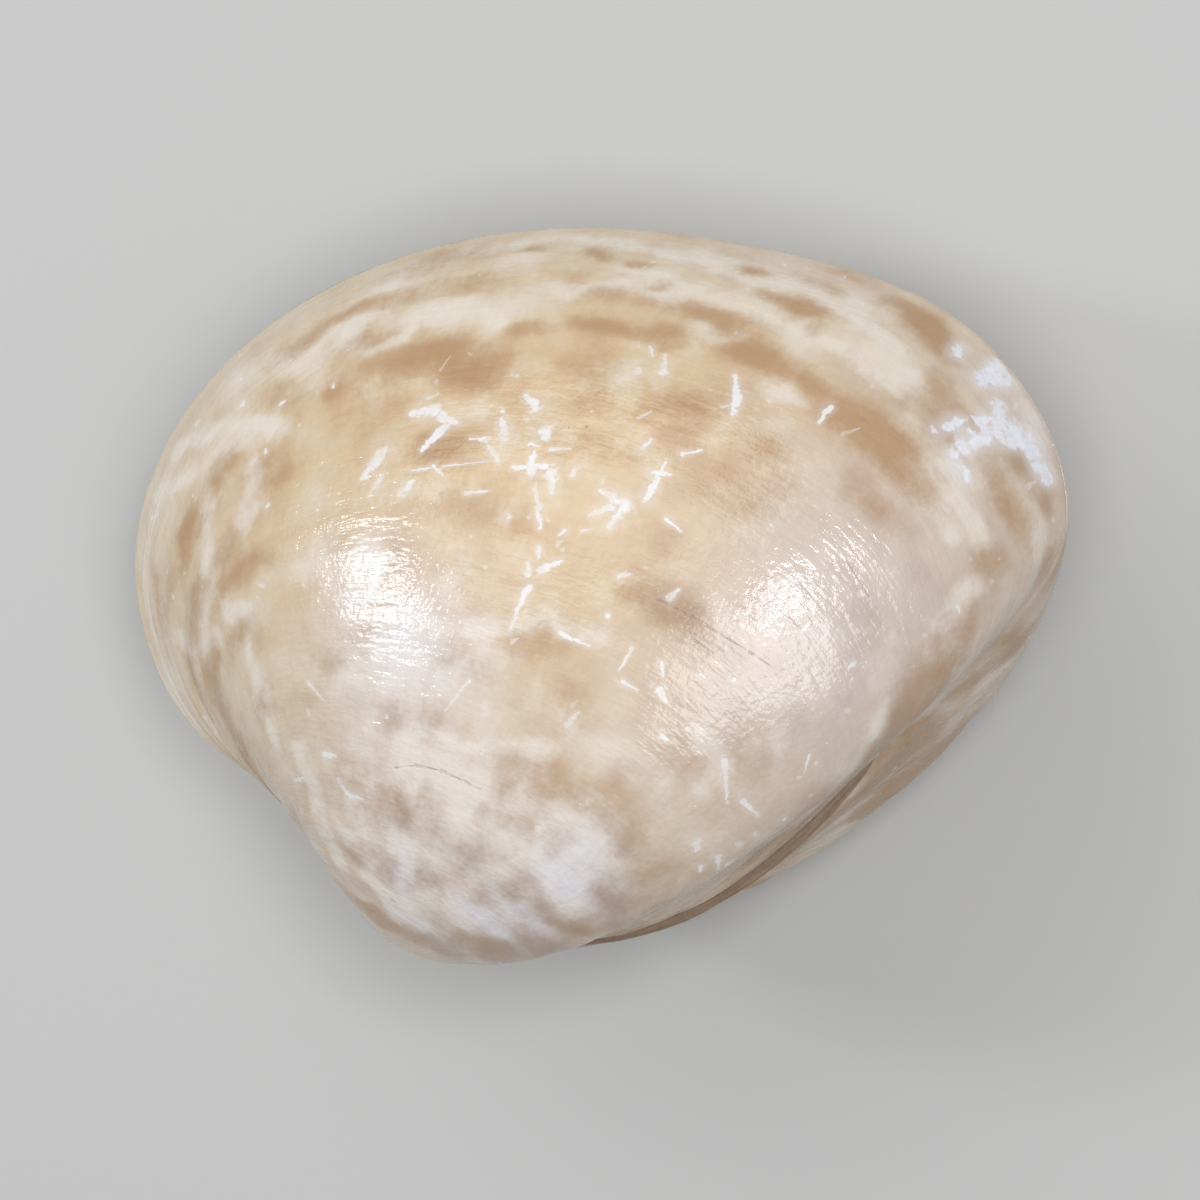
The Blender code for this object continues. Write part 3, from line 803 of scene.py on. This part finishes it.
def stroke_corner_places(corners, middles, normals, strokes):
    """Each face corner's place on the stroke nearest to its face.

    X is the distance along the stroke from its middle, Y the distance across
    it and Z half its length, all in half widths.
    """
    gaps = np.array([stroke_gap(middles, *stroke) for stroke in strokes])
    owner = gaps.argmin(axis=0)
    starts, ends, widths = (np.array(part) for part in zip(*strokes))
    run = ends - starts
    long = np.linalg.norm(run, axis=1)
    run = np.where(long[:, None] > 1e-6, run / np.maximum(long, 1e-6)[:, None], (1.0, 0.0, 0.0))
    run = run[owner]
    side = unit(np.cross(normals, run))
    arm = corners - ((starts + ends) / 2)[owner][:, None, :]
    width = widths[owner][:, None]
    along = np.einsum("fcx,fx->fc", arm, run) / width
    across = np.einsum("fcx,fx->fc", arm, side) / width
    half = np.broadcast_to(long[owner][:, None] / 2 / width, along.shape)
    return np.stack((along, across, half), axis=-1)


def grid_faces(rows, around):
    """Quads of a grid that closes on itself, as corner numbers."""
    row, column = np.meshgrid(np.arange(rows - 1), np.arange(around), indexing="ij")
    ahead = (column + 1) % around
    here, there = row * around, (row + 1) * around
    quads = np.stack((here + column, here + ahead, there + ahead, there + column), axis=-1)
    return quads.reshape(-1, 4)


def cap_faces(ring_start, around, middle):
    """Triangles from a ring to the point at its middle."""
    column = np.arange(around)
    ahead = (column + 1) % around
    return np.column_stack((np.full(around, middle), ring_start + column, ring_start + ahead))


def signed_volume(points, quads):
    """Volume inside the quads, negative where they face inwards."""
    a, b, c, d = (points[quads[:, i]] for i in range(4))
    return (np.sum(a * np.cross(b, c)) + np.sum(a * np.cross(c, d))) / 6


def new_object(name, data):
    """Object of a mesh, a lamp or a camera, in the scene."""
    made = bpy.data.objects.new(name, data)
    bpy.context.scene.collection.objects.link(made)
    return made


def closed_piece(name, rows, material):
    """Mesh of a grid in the row frame: quads between the rows and a cap on each end ring.

    Returns the object and the grid's quads, which come first and in grid order.
    """
    count, around = rows.shape[:2]
    points = np.concatenate((rows.reshape(-1, 3), rows[:1].mean(axis=1), rows[-1:].mean(axis=1)))
    quads = grid_faces(count, around)
    first = cap_faces(0, around, count * around)[:, ::-1]
    last = cap_faces((count - 1) * around, around, count * around + 1)
    if signed_volume(points, quads) < 0:
        quads, first, last = quads[:, ::-1], first[:, ::-1], last[:, ::-1]
    mesh = bpy.data.meshes.new(name)
    mesh.from_pydata((points * MM).tolist(), [], quads.tolist() + first.tolist() + last.tolist())
    mesh.materials.append(material)
    mesh.shade_smooth()
    mesh.set_sharp_from_angle(angle=SHARP_ANGLE)
    return new_object(name, mesh), quads


def write_field(piece, name, values, rest=(0.0, 0.0, 0.0), domain="POINT"):
    """Vector attribute on the mesh; points or corners past the given ones get the rest value."""
    mesh = piece.data
    count = len(mesh.vertices) if domain == "POINT" else len(mesh.loops)
    flat = np.tile(np.array(rest, dtype=np.float32), (count, 1))
    flat[:values.shape[0] * values.shape[1]] = values.reshape(-1, 3)
    attribute = mesh.attributes.new(name, "FLOAT_VECTOR", domain)
    attribute.data.foreach_set("vector", flat.ravel())


def add_node(tree, kind, inputs=None, **settings):
    """New node with its settings; each input takes another node's output, or a plain value."""
    node = tree.nodes.new(f"ShaderNode{kind}")
    for title, value in settings.items():
        setattr(node, title, value)
    for socket, value in (inputs or {}).items():
        if isinstance(value, bpy.types.NodeSocket):
            tree.links.new(value, node.inputs[socket])
        else:
            node.inputs[socket].default_value = value
    return node.outputs


def math(tree, operation, *values, clamp=False):
    """A sum, product or the like of values, clamped to 0 to 1 if asked."""
    return add_node(tree, "Math", dict(enumerate(values)), operation=operation, use_clamp=clamp)[0]


def centred(tree, value, swing):
    """A noise of 0 to 1 made to swing about 0: (value - 0.5) times the swing."""
    return math(tree, "MULTIPLY_ADD", value, swing, -swing / 2)


def weighted_sum(tree, start, weights, values):
    """Start value plus each named value times its weight."""
    total = start
    for title, weight in weights.items():
        total = math(tree, "MULTIPLY_ADD", values[title], weight, total)
    return total


def stretched(tree, vector, factors):
    """A vector multiplied by another, axis by axis."""
    return add_node(tree, "VectorMath", {0: vector, 1: factors}, operation="MULTIPLY")[0]


def mix(tree, share, first, second, blend="MIX"):
    """The first colour with a share of the second mixed in, or multiplied in."""
    return add_node(tree, "Mix", {0: share, 6: first, 7: second}, data_type="RGBA", blend_type=blend)[2]


def ramp(tree, value, low, high, floor, top):
    """Smooth rise from floor to top while the value goes from low to high."""
    settings = dict(enumerate((value, low, high, floor, top)))
    return add_node(tree, "MapRange", settings, interpolation_type="SMOOTHSTEP")[0]


def noise(tree, place, scale, detail, roughness):
    """Noise of 0 to 1 at a place."""
    settings = {"Vector": place, "Scale": scale, "Detail": detail, "Roughness": roughness}
    return add_node(tree, "TexNoise", settings)["Fac"]


def parts_of(tree, vector):
    """The three parts of a vector, as values."""
    return add_node(tree, "SeparateXYZ", {0: vector})


def mesh_field(tree, name):
    """A vector attribute of the mesh."""
    return add_node(tree, "Attribute", attribute_name=name)["Vector"]


def millimetres(tree):
    """Object coordinates, in millimetres."""
    return stretched(tree, add_node(tree, "TexCoord")["Object"], (1.0 / MM, 1.0 / MM, 1.0 / MM))


def new_group(name, inputs, outputs):
    """Shader node group with named sockets; returns it with its given values and its results."""
    group = bpy.data.node_groups.new(name, "ShaderNodeTree")
    for title, kind in inputs:
        group.interface.new_socket(name=title, in_out="INPUT", socket_type=f"NodeSocket{kind}")
    for title, kind in outputs:
        group.interface.new_socket(name=title, in_out="OUTPUT", socket_type=f"NodeSocket{kind}")
    return group, group.nodes.new("NodeGroupInput").outputs, group.nodes.new("NodeGroupOutput").inputs


def place_group(tree, group, **values):
    """Outputs of a group whose sockets take the values of the same names, with _ for a space."""
    inputs = {title.replace("_", " "): value for title, value in values.items()}
    return add_node(tree, "Group", inputs, node_tree=group)


def growth_streaks_group():
    """Fine lines that follow the growth: noise squeezed along the age axis and drawn out round it."""
    inputs = (("Place", "Vector"), ("Round", "Float"), ("Age", "Float"), ("Detail", "Float"))
    group, given, put = new_group("growth streaks", inputs, (("Value", "Float"),))
    factors = add_node(group, "CombineXYZ", {0: given["Round"], 1: given["Round"], 2: given["Age"]})[0]
    place = stretched(group, given["Place"], factors)
    group.links.new(noise(group, place, 1.0, given["Detail"], 0.5), put["Value"])
    return group


def chip_group():
    """Mask of a chip: its distance from a short line, in half widths, with a ragged edge.

    The line is wider at its start than at its end, and a faint haze may lie round it.
    """
    inputs = (("Place", "Vector"), ("Ragged", "Float"), ("Bend", "Float"),
              ("Softness", "Float"), ("Haze", "Float"))
    group, given, put = new_group("chip", inputs, (("Mask", "Float"),))
    along, across, half = parts_of(group, given["Place"])
    across = math(group, "ADD", across, given["Bend"])
    share = math(group, "DIVIDE", along, math(group, "ADD", half, 1.0))
    taper = ramp(group, share, -1.0, 1.0, *CHIP_TAPER)
    past_end = math(group, "MULTIPLY_ADD", half, -CHIP_LENGTH, math(group, "ABSOLUTE", along))
    past_end = math(group, "MAXIMUM", past_end, 0.0)
    squares = math(group, "MULTIPLY_ADD", past_end, past_end, math(group, "MULTIPLY", across, across))
    far = math(group, "DIVIDE", math(group, "SQRT", squares), taper)
    far = math(group, "ADD", far, given["Ragged"])
    low = math(group, "SUBTRACT", 1.0, given["Softness"])
    high = math(group, "ADD", 1.0, given["Softness"])
    haze = ramp(group, far, 1.0, HAZE_REACH, given["Haze"], 0.0)
    mask = math(group, "MAXIMUM", haze, ramp(group, far, low, high, 1.0, 0.0))
    group.links.new(mask, put["Mask"])
    return group


def shell_group(streaks, chip):
    """Colour, roughness and height of the polished shell, from its fields and its paints.

    A mottling, the weighted sum of noises, shifts each zone and mark before it
    mixes its paint over the last one. Wear covers them in the same way: the
    chalky patch, chips, specks and scores, each a mask broken up by a noise.
    The smallest chips are partly painted glints, and the dark scores partly
    painted shade in grooves and pits.
    """
    inputs = [("Millimetres", "Vector"), ("Lilac Tint", "Color")]
    inputs += [(name.replace("_", " ").title(), "Vector") for name in FIELDS]
    inputs += [(title, "Color") for title in PAINTS]
    group, given, put = new_group("polished shell", inputs,
                                  (("Color", "Color"), ("Roughness", "Float"), ("Height", "Float")))
    parts = {}
    for title, settings in PLACE_NOISES.items():
        parts[title] = noise(group, given["Millimetres"], *settings)
    for title, (round_shell, age, detail) in GROWTH_NOISES.items():
        parts[title] = place_group(group, streaks, Place=given["Growth Place"],
                                   Round=round_shell, Age=age, Detail=detail)["Value"]
    amber, rose, lilac = parts_of(group, given["Zones"])
    tan, pale, chalk = parts_of(group, given["Marks"])

    # Mottling: dark where it is above 0, pale where it is below
    mottle = weighted_sum(group, MOTTLE_LEVEL, MOTTLE, parts)

    def mottled(mark, weight, clamp=False):
        """A mark shifted by the mottling."""
        return math(group, "MULTIPLY_ADD", mottle, weight, mark, clamp=clamp)

    paint = mix(group, mottled(amber, AMBER_MOTTLE, clamp=True), given["Cream"], given["Amber"])
    paint = mix(group, mottled(rose, ROSE_MOTTLE, clamp=True), paint, given["Rose"])
    pale = mottled(math(group, "MULTIPLY_ADD", lilac, LILAC_PALENESS, pale), PALE_MOTTLE)
    paint = mix(group, ramp(group, pale, *PALE_COVER), paint, given["Pale"])
    tint = mix(group, lilac, WHITE, given["Lilac Tint"])
    paint = mix(group, 1.0, paint, tint, blend="MULTIPLY")
    dark = mix(group, math(group, "MULTIPLY", lilac, LILAC_ASH, clamp=True), given["Tan"], given["Ash"])
    paint = mix(group, ramp(group, mottled(tan, TAN_MOTTLE), *TAN_COVER), paint, dark)
    for title, swing in SHADES.items():
        shade = math(group, "MULTIPLY_ADD", parts[title], swing, 1.0 - swing / 2)
        paint = mix(group, 1.0, paint, shade, blend="MULTIPLY")

    # Wear: the chalky patch, white chips and specks, fine scored lines; the smallest chips are partly
    # painted glints, and the scores partly painted shade
    flecked = math(group, "ADD", chalk, centred(group, parts["flake"], CHALK_RAGGED))
    flecked = math(group, "MULTIPLY", ramp(group, flecked, *CHALK_COVER),
                   ramp(group, parts["grain"], *CHALK_FLECKS))
    parts["chalk"] = math(group, "MAXIMUM", ramp(group, chalk, *CHALK_HAZE), flecked)
    paint = mix(group, parts["chalk"], paint, given["Chalk"])
    edge = centred(group, parts["flake"], CHIP_RAGGED)
    bend = centred(group, parts["grain"], CHIP_BEND)
    chips = place_group(group, chip, Place=given["Chip Place"], Ragged=edge, Bend=bend,
                        Softness=CHIP_SOFTNESS, Haze=CHIP_HAZE)["Mask"]
    specks = place_group(group, chip, Place=given["Speck Place"], Ragged=edge,
                         Softness=SPECK_SOFTNESS)["Mask"]
    worn = math(group, "MAXIMUM", chips, math(group, "MULTIPLY", specks, SPECK_COVER))
    parts["worn"] = math(group, "MULTIPLY", worn, ramp(group, parts["cloud"], *WORN_FLECKS))
    paint = mix(group, parts["worn"], paint, given["ChippedAndGlint"])
    score = place_group(group, chip, Place=given["Score Place"], Softness=SCORE_SOFTNESS)["Mask"]
    parts["score"] = math(group, "MULTIPLY", score, ramp(group, parts["flake"], *SCORE_FLECKS))
    paint = mix(group, math(group, "MULTIPLY", parts["score"], SCORE_COVER), paint, given["ScoredAndShade"])
    group.links.new(paint, put["Color"])
    group.links.new(weighted_sum(group, SHELL_ROUGHNESS, ROUGHNESS, parts), put["Roughness"])
    group.links.new(weighted_sum(group, 0.0, HEIGHT, parts), put["Height"])
    return group


def new_material(name):
    """Material with a plain Principled shader; returns the material, its tree and the shader."""
    material = bpy.data.materials.new(name)
    material.use_nodes = True
    tree = material.node_tree
    return material, tree, tree.nodes["Principled BSDF"]


def finish_surface(tree, shader, colour, rough, height, relief):
    """Feeds the shader its colour and roughness, and raises its surface by the height."""
    bump = add_node(tree, "Bump", {"Strength": 1.0, "Distance": relief * MM, "Height": height})
    tree.links.new(bump["Normal"], shader.inputs["Normal"])
    tree.links.new(colour, shader.inputs["Base Color"])
    tree.links.new(rough, shader.inputs["Roughness"])
    shader.inputs["Metallic"].default_value = 0.0


def shell_material(name, group, tint):
    """Polished shell: the shared group's colour, roughness and fine relief under a hard gloss."""
    material, tree, shader = new_material(name)
    paints = {title: (*(c * t for c, t in zip(paint, tint)), 1.0) for title, paint in PAINTS.items()}
    fields = {name.title(): mesh_field(tree, name) for name in FIELDS}
    outputs = place_group(tree, group, Millimetres=millimetres(tree), Lilac_Tint=LILAC_TINT,
                          **fields, **paints)
    finish_surface(tree, shader, outputs["Color"], outputs["Roughness"], outputs["Height"], SHELL_RELIEF)
    shader.inputs["IOR"].default_value = SHELL_IOR
    return material


def horn_material(streaks):
    """Dry horny ligament: fine brown fibres along its length, mottled by a grain."""
    material, tree, shader = new_material("ligament_horn")
    fibre = place_group(tree, streaks, Place=mesh_field(tree, "fibre_place"), **HORN_FIBRES)["Value"]
    grain = noise(tree, millimetres(tree), *HORN_GRAIN)
    share = math(tree, "ADD", fibre, centred(tree, grain, HORN_GRAIN_SHARE), clamp=True)
    rough = math(tree, "MULTIPLY_ADD", fibre, FIBRE_ROUGHNESS, HORN_ROUGHNESS)
    finish_surface(tree, shader, mix(tree, share, HORN_DARK, HORN_LIGHT), rough,
                   math(tree, "ADD", fibre, grain), HORN_RELIEF)
    return material


def build_valve(name, material, mirrored, outline, turns, seeds):
    """One valve on the fine grid: growth lines outside, their shrunken copies inside.

    The outside is sunk for the ligament, raised along its normals by the
    relief and rounded at its lip. Both valves are worked out on the right
    one's side of the seam, and the left one is then mirrored.
    """
    outside = ligament_groove(growth_lines(outline, turns), outline, turns)
    normals = normals_of(outside)
    growth = np.broadcast_to(SHELL_HEIGHT * np.exp(-drawn_in(turns))[:, None], outside.shape[:2])
    bearing = np.broadcast_to(bearing_of(outline), outside.shape[:2])
    relief = growth_relief(growth, bearing, outside, seeds["relief"])
    relief *= smooth_step(np.abs(outside[..., 2]) / SEAM_FADE) * smooth_step(growth / BEAK_FADE)
    outside = round_lip(stay_on_side(outside + relief[..., None] * normals), outline)
    hollow = stay_on_side(inner_lines(outline, np.linspace(0.0, CAVITY_TURN, HOLLOW_ROWS)))
    rows = np.concatenate((outside, hollow))
    placed = row_place(rows * ACROSS_SEAM if mirrored else rows)
    placed[..., 2] = np.maximum(placed[..., 2], 0.0)
    piece, quads = closed_piece(name, placed, material)
    places = seen_places(outside, normals)
    write_marks(piece, outside, normals, places, growth, bearing, mirrored, seeds["edge"])
    write_chips(piece, outside, normals, places, quads, mirrored, seeds["speck"])
    return piece


def write_marks(piece, outside, normals, places, growth, bearing, mirrored, seed):
    """Zones and marks of a valve, and the places of its growth streaks.

    The left valve has the right one's checks mirrored, as shells do, with
    uneven edges of its own and with the marks that show beyond the seam.
    """
    ragged = warped(outside, *CHECK_EDGE, seed)
    soft = warped(outside, *ZONE_EDGE, seed + 10)
    zones = [spot_field(edge, seen_spots(outside, places, table), ZONE_FALLOFF)
             for edge, table in ((soft, AMBER_ZONES), (soft, ROSE_ZONES), (ragged, LILAC_ZONES_AND_SHEEN))]
    tans = seen_spots(outside, places, TAN_CHECKS_AND_SHADE)
    tans += hidden_spots(outside, normals, growth, bearing, CHECK_SEED, HIDDEN_TAN)
    pales = seen_spots(outside, places, PALE_CHECKS_AND_SHEEN)
    pales += hidden_spots(outside, normals, growth, bearing, CHECK_SEED + 1, HIDDEN_PALE)
    if mirrored:
        other = outside * ACROSS_SEAM
        other_places = seen_places(other, normals * ACROSS_SEAM)
        for found, table in ((tans, LEFT_TAN_CHECKS), (pales, LEFT_PALE_CHECKS)):
            for axes, *shape in seen_spots(other, other_places, table):
                found.append(([vector * ACROSS_SEAM for vector in axes], *shape))
    strokes = [(*start, *end, PALE_LINE_WIDTH)
               for line in PALE_LINES for start, end in zip(line, line[1:])]
    lines = stroke_field(ragged, seen_strokes(outside, places, strokes), PALE_LINE_FADE)
    tan = spot_field(ragged, tans, CHECK_FALLOFF)
    pale = np.maximum(spot_field(ragged, pales, CHECK_FALLOFF), PALE_LINE_STRENGTH * lines)
    chalk = stroke_field(outside, seen_strokes(outside, places, CHALK_STROKES), CHALK_FADE)
    if mirrored:
        chalk = np.zeros_like(chalk)
    write_field(piece, "zones", np.stack(zones, axis=-1), HOLLOW_ZONES)
    write_field(piece, "marks", np.stack((tan, pale, chalk), axis=-1), HOLLOW_MARKS)
    reach = smooth_step(growth / STREAK_REACH)
    growth_place = np.stack((reach * np.cos(bearing), reach * np.sin(bearing), growth + seed), axis=-1)
    write_field(piece, "growth_place", growth_place)


def write_chips(piece, outside, normals, places, quads, mirrored, seed):
    """Chips of a valve: each outside face knows its place on the chip nearest to it."""
    quads = quads[:(len(outside) - 1) * outside.shape[1]]
    corners = outside.reshape(-1, 3)[quads]
    middles = corners.mean(axis=1)
    face_normals = normals.reshape(-1, 3)[quads[:, 0]]
    specks = speck_strokes(outside, normals, seed, SPECK_COUNT, hidden=True)
    specks += speck_strokes(outside, normals, seed + 3, SEEN_SPECK_COUNT, hidden=False)
    scores = speck_strokes(outside, normals, seed + 2, SCORE_COUNT, hidden=True)
    if mirrored:
        chips = speck_strokes(outside, normals, seed + 1, SPECK_COUNT, hidden=False)
    else:
        chips = seen_strokes(outside, places, CHIPS_AND_GLINTS)
        scores += seen_strokes(outside, places, SCORES)
    for name, strokes in (("chip_place", chips), ("speck_place", specks), ("score_place", scores)):
        write_field(piece, name, stroke_corner_places(corners, middles, face_normals, strokes),
                    FAR_AWAY, domain="CORNER")


def build_ligament(material):
    """The ligament: rings along its curved path, ridged lengthwise by its fibres.

    The ridges are a sine round the ring that sways along the path, and noise
    adds lumps. Both ends round off as a quarter circle.
    """
    rows = ligament_rows(HORN_RINGS, HORN_SIDES)
    middle = rows.mean(axis=1, keepdims=True)
    t = np.linspace(0.0, 1.0, HORN_RINGS)[:, None]
    angle = np.linspace(0.0, 2 * np.pi, HORN_SIDES, endpoint=False)[None, :]
    ridges = RIDGE_HEIGHT * np.sin(RIDGE_COUNT * angle + RIDGE_SWAY * np.sin(RIDGE_SWAYS * t))
    ridges = ridges + LUMP_HEIGHT * lattice_noise(rows, LUMP_SIZE, LUMP_SEED) - RIDGE_SINK
    ends = smooth_step(t / RIDGE_FADE) * smooth_step((1 - t) / RIDGE_FADE)
    tip = np.clip(np.minimum(t, 1.0 - t) / HORN_TIP, 0.0, 1.0)
    rounded = np.sqrt(1.0 - (1.0 - tip) ** 2)
    size = (HORN_SIZE + ridges * ends) * rounded
    rows = middle + (rows - middle) * size[..., None]
    piece, _ = closed_piece("ligament_horn", row_place(rows), material)
    around = (np.cos(angle), np.sin(angle), t * HORN_LENGTH)
    fibre = np.stack([np.broadcast_to(part, size.shape) for part in around], axis=-1)
    write_field(piece, "fibre_place", fibre)
    return piece


def make_camera():
    """The photograph's view: its place, its axes and its long lens."""
    data = bpy.data.cameras.new("photo_view")
    data.sensor_width = SENSOR
    data.lens = SENSOR * PIXELS_PER_MM * VIEW_DISTANCE / PHOTO_SIZE
    data.shift_x = 0.5 - PHOTO_CENTRE[0] / PHOTO_SIZE
    data.shift_y = PHOTO_CENTRE[1] / PHOTO_SIZE - 0.5
    data.clip_start = NEAR_CLIP
    camera = new_object("photo_view", data)
    matrix = np.eye(4)
    matrix[:3, :3] = (VIEW_AXES @ BALANCE.T).T
    matrix[:3, 3] = row_place(VIEW_PLACE) * MM
    camera.matrix_world = matrix.T.tolist()
    bpy.context.scene.camera = camera


def make_softbox(name, toward, distance, size, power, colour):
    """Soft light that faces the shell from a direction given in the view's axes."""
    data = bpy.data.lights.new(name, "AREA")
    data.shape = "RECTANGLE"
    data.size, data.size_y = size
    data.energy = power
    data.color = colour
    lamp = new_object(name, data)
    back = Vector(unit(BALANCE @ (np.array(toward) @ VIEW_AXES)).tolist())
    lamp.rotation_mode = "QUATERNION"
    lamp.rotation_quaternion = (-back).to_track_quat("-Z", "Y")
    lamp.location = Vector((row_place(VIEW_CENTRE) * MM).tolist()) + back * distance


def make_stage():
    """Plain pale floor that the shell lies on, and an even pale surround."""
    data = bpy.data.meshes.new("floor")
    corners = ((-1, -1), (1, -1), (1, 1), (-1, 1))
    data.from_pydata([(x * FLOOR_HALF, y * FLOOR_HALF, -FLOOR_DROP) for x, y in corners],
                     [], [(0, 1, 2, 3)])
    material, _, shader = new_material("floor_paper")
    shader.inputs["Base Color"].default_value = FLOOR_PAINT
    shader.inputs["Roughness"].default_value = FLOOR_ROUGHNESS
    data.materials.append(material)
    floor = new_object("floor", data)
    world = bpy.data.worlds.new("surround")
    world.use_nodes = True
    surround = world.node_tree.nodes["Background"]
    surround.inputs["Color"].default_value = SURROUND_PAINT
    surround.inputs["Strength"].default_value = SURROUND_LIGHT
    bpy.context.scene.world = world
    bpy.context.scene.view_settings.view_transform = "Standard"


def main():
    """Makes the stage, the camera and the lights, then the two valves and the ligament."""
    make_stage()
    make_camera()
    for name, settings in LIGHTS.items():
        make_softbox(name, *settings)
    streaks = growth_streaks_group()
    shell = shell_group(streaks, chip_group())
    outline = closed_curve(SEAM_OUTLINE, AROUND)
    turns = row_turns(outline)
    right = build_valve("right_valve_shell", shell_material("right_shell", shell, RIGHT_TINT),
                        False, outline, turns, RIGHT_SEEDS)
    left = build_valve("left_valve_shell", shell_material("left_shell", shell, LEFT_TINT),
                       True, outline, turns, LEFT_SEEDS)
    horn = build_ligament(horn_material(streaks))
    for piece, node, slot in ((right, "right_valve", "shell_right"), (left, "left_valve", "shell_left"),
                              (horn, "ligament", "ligament")):
        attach(piece, "root")
        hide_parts(node)


main()
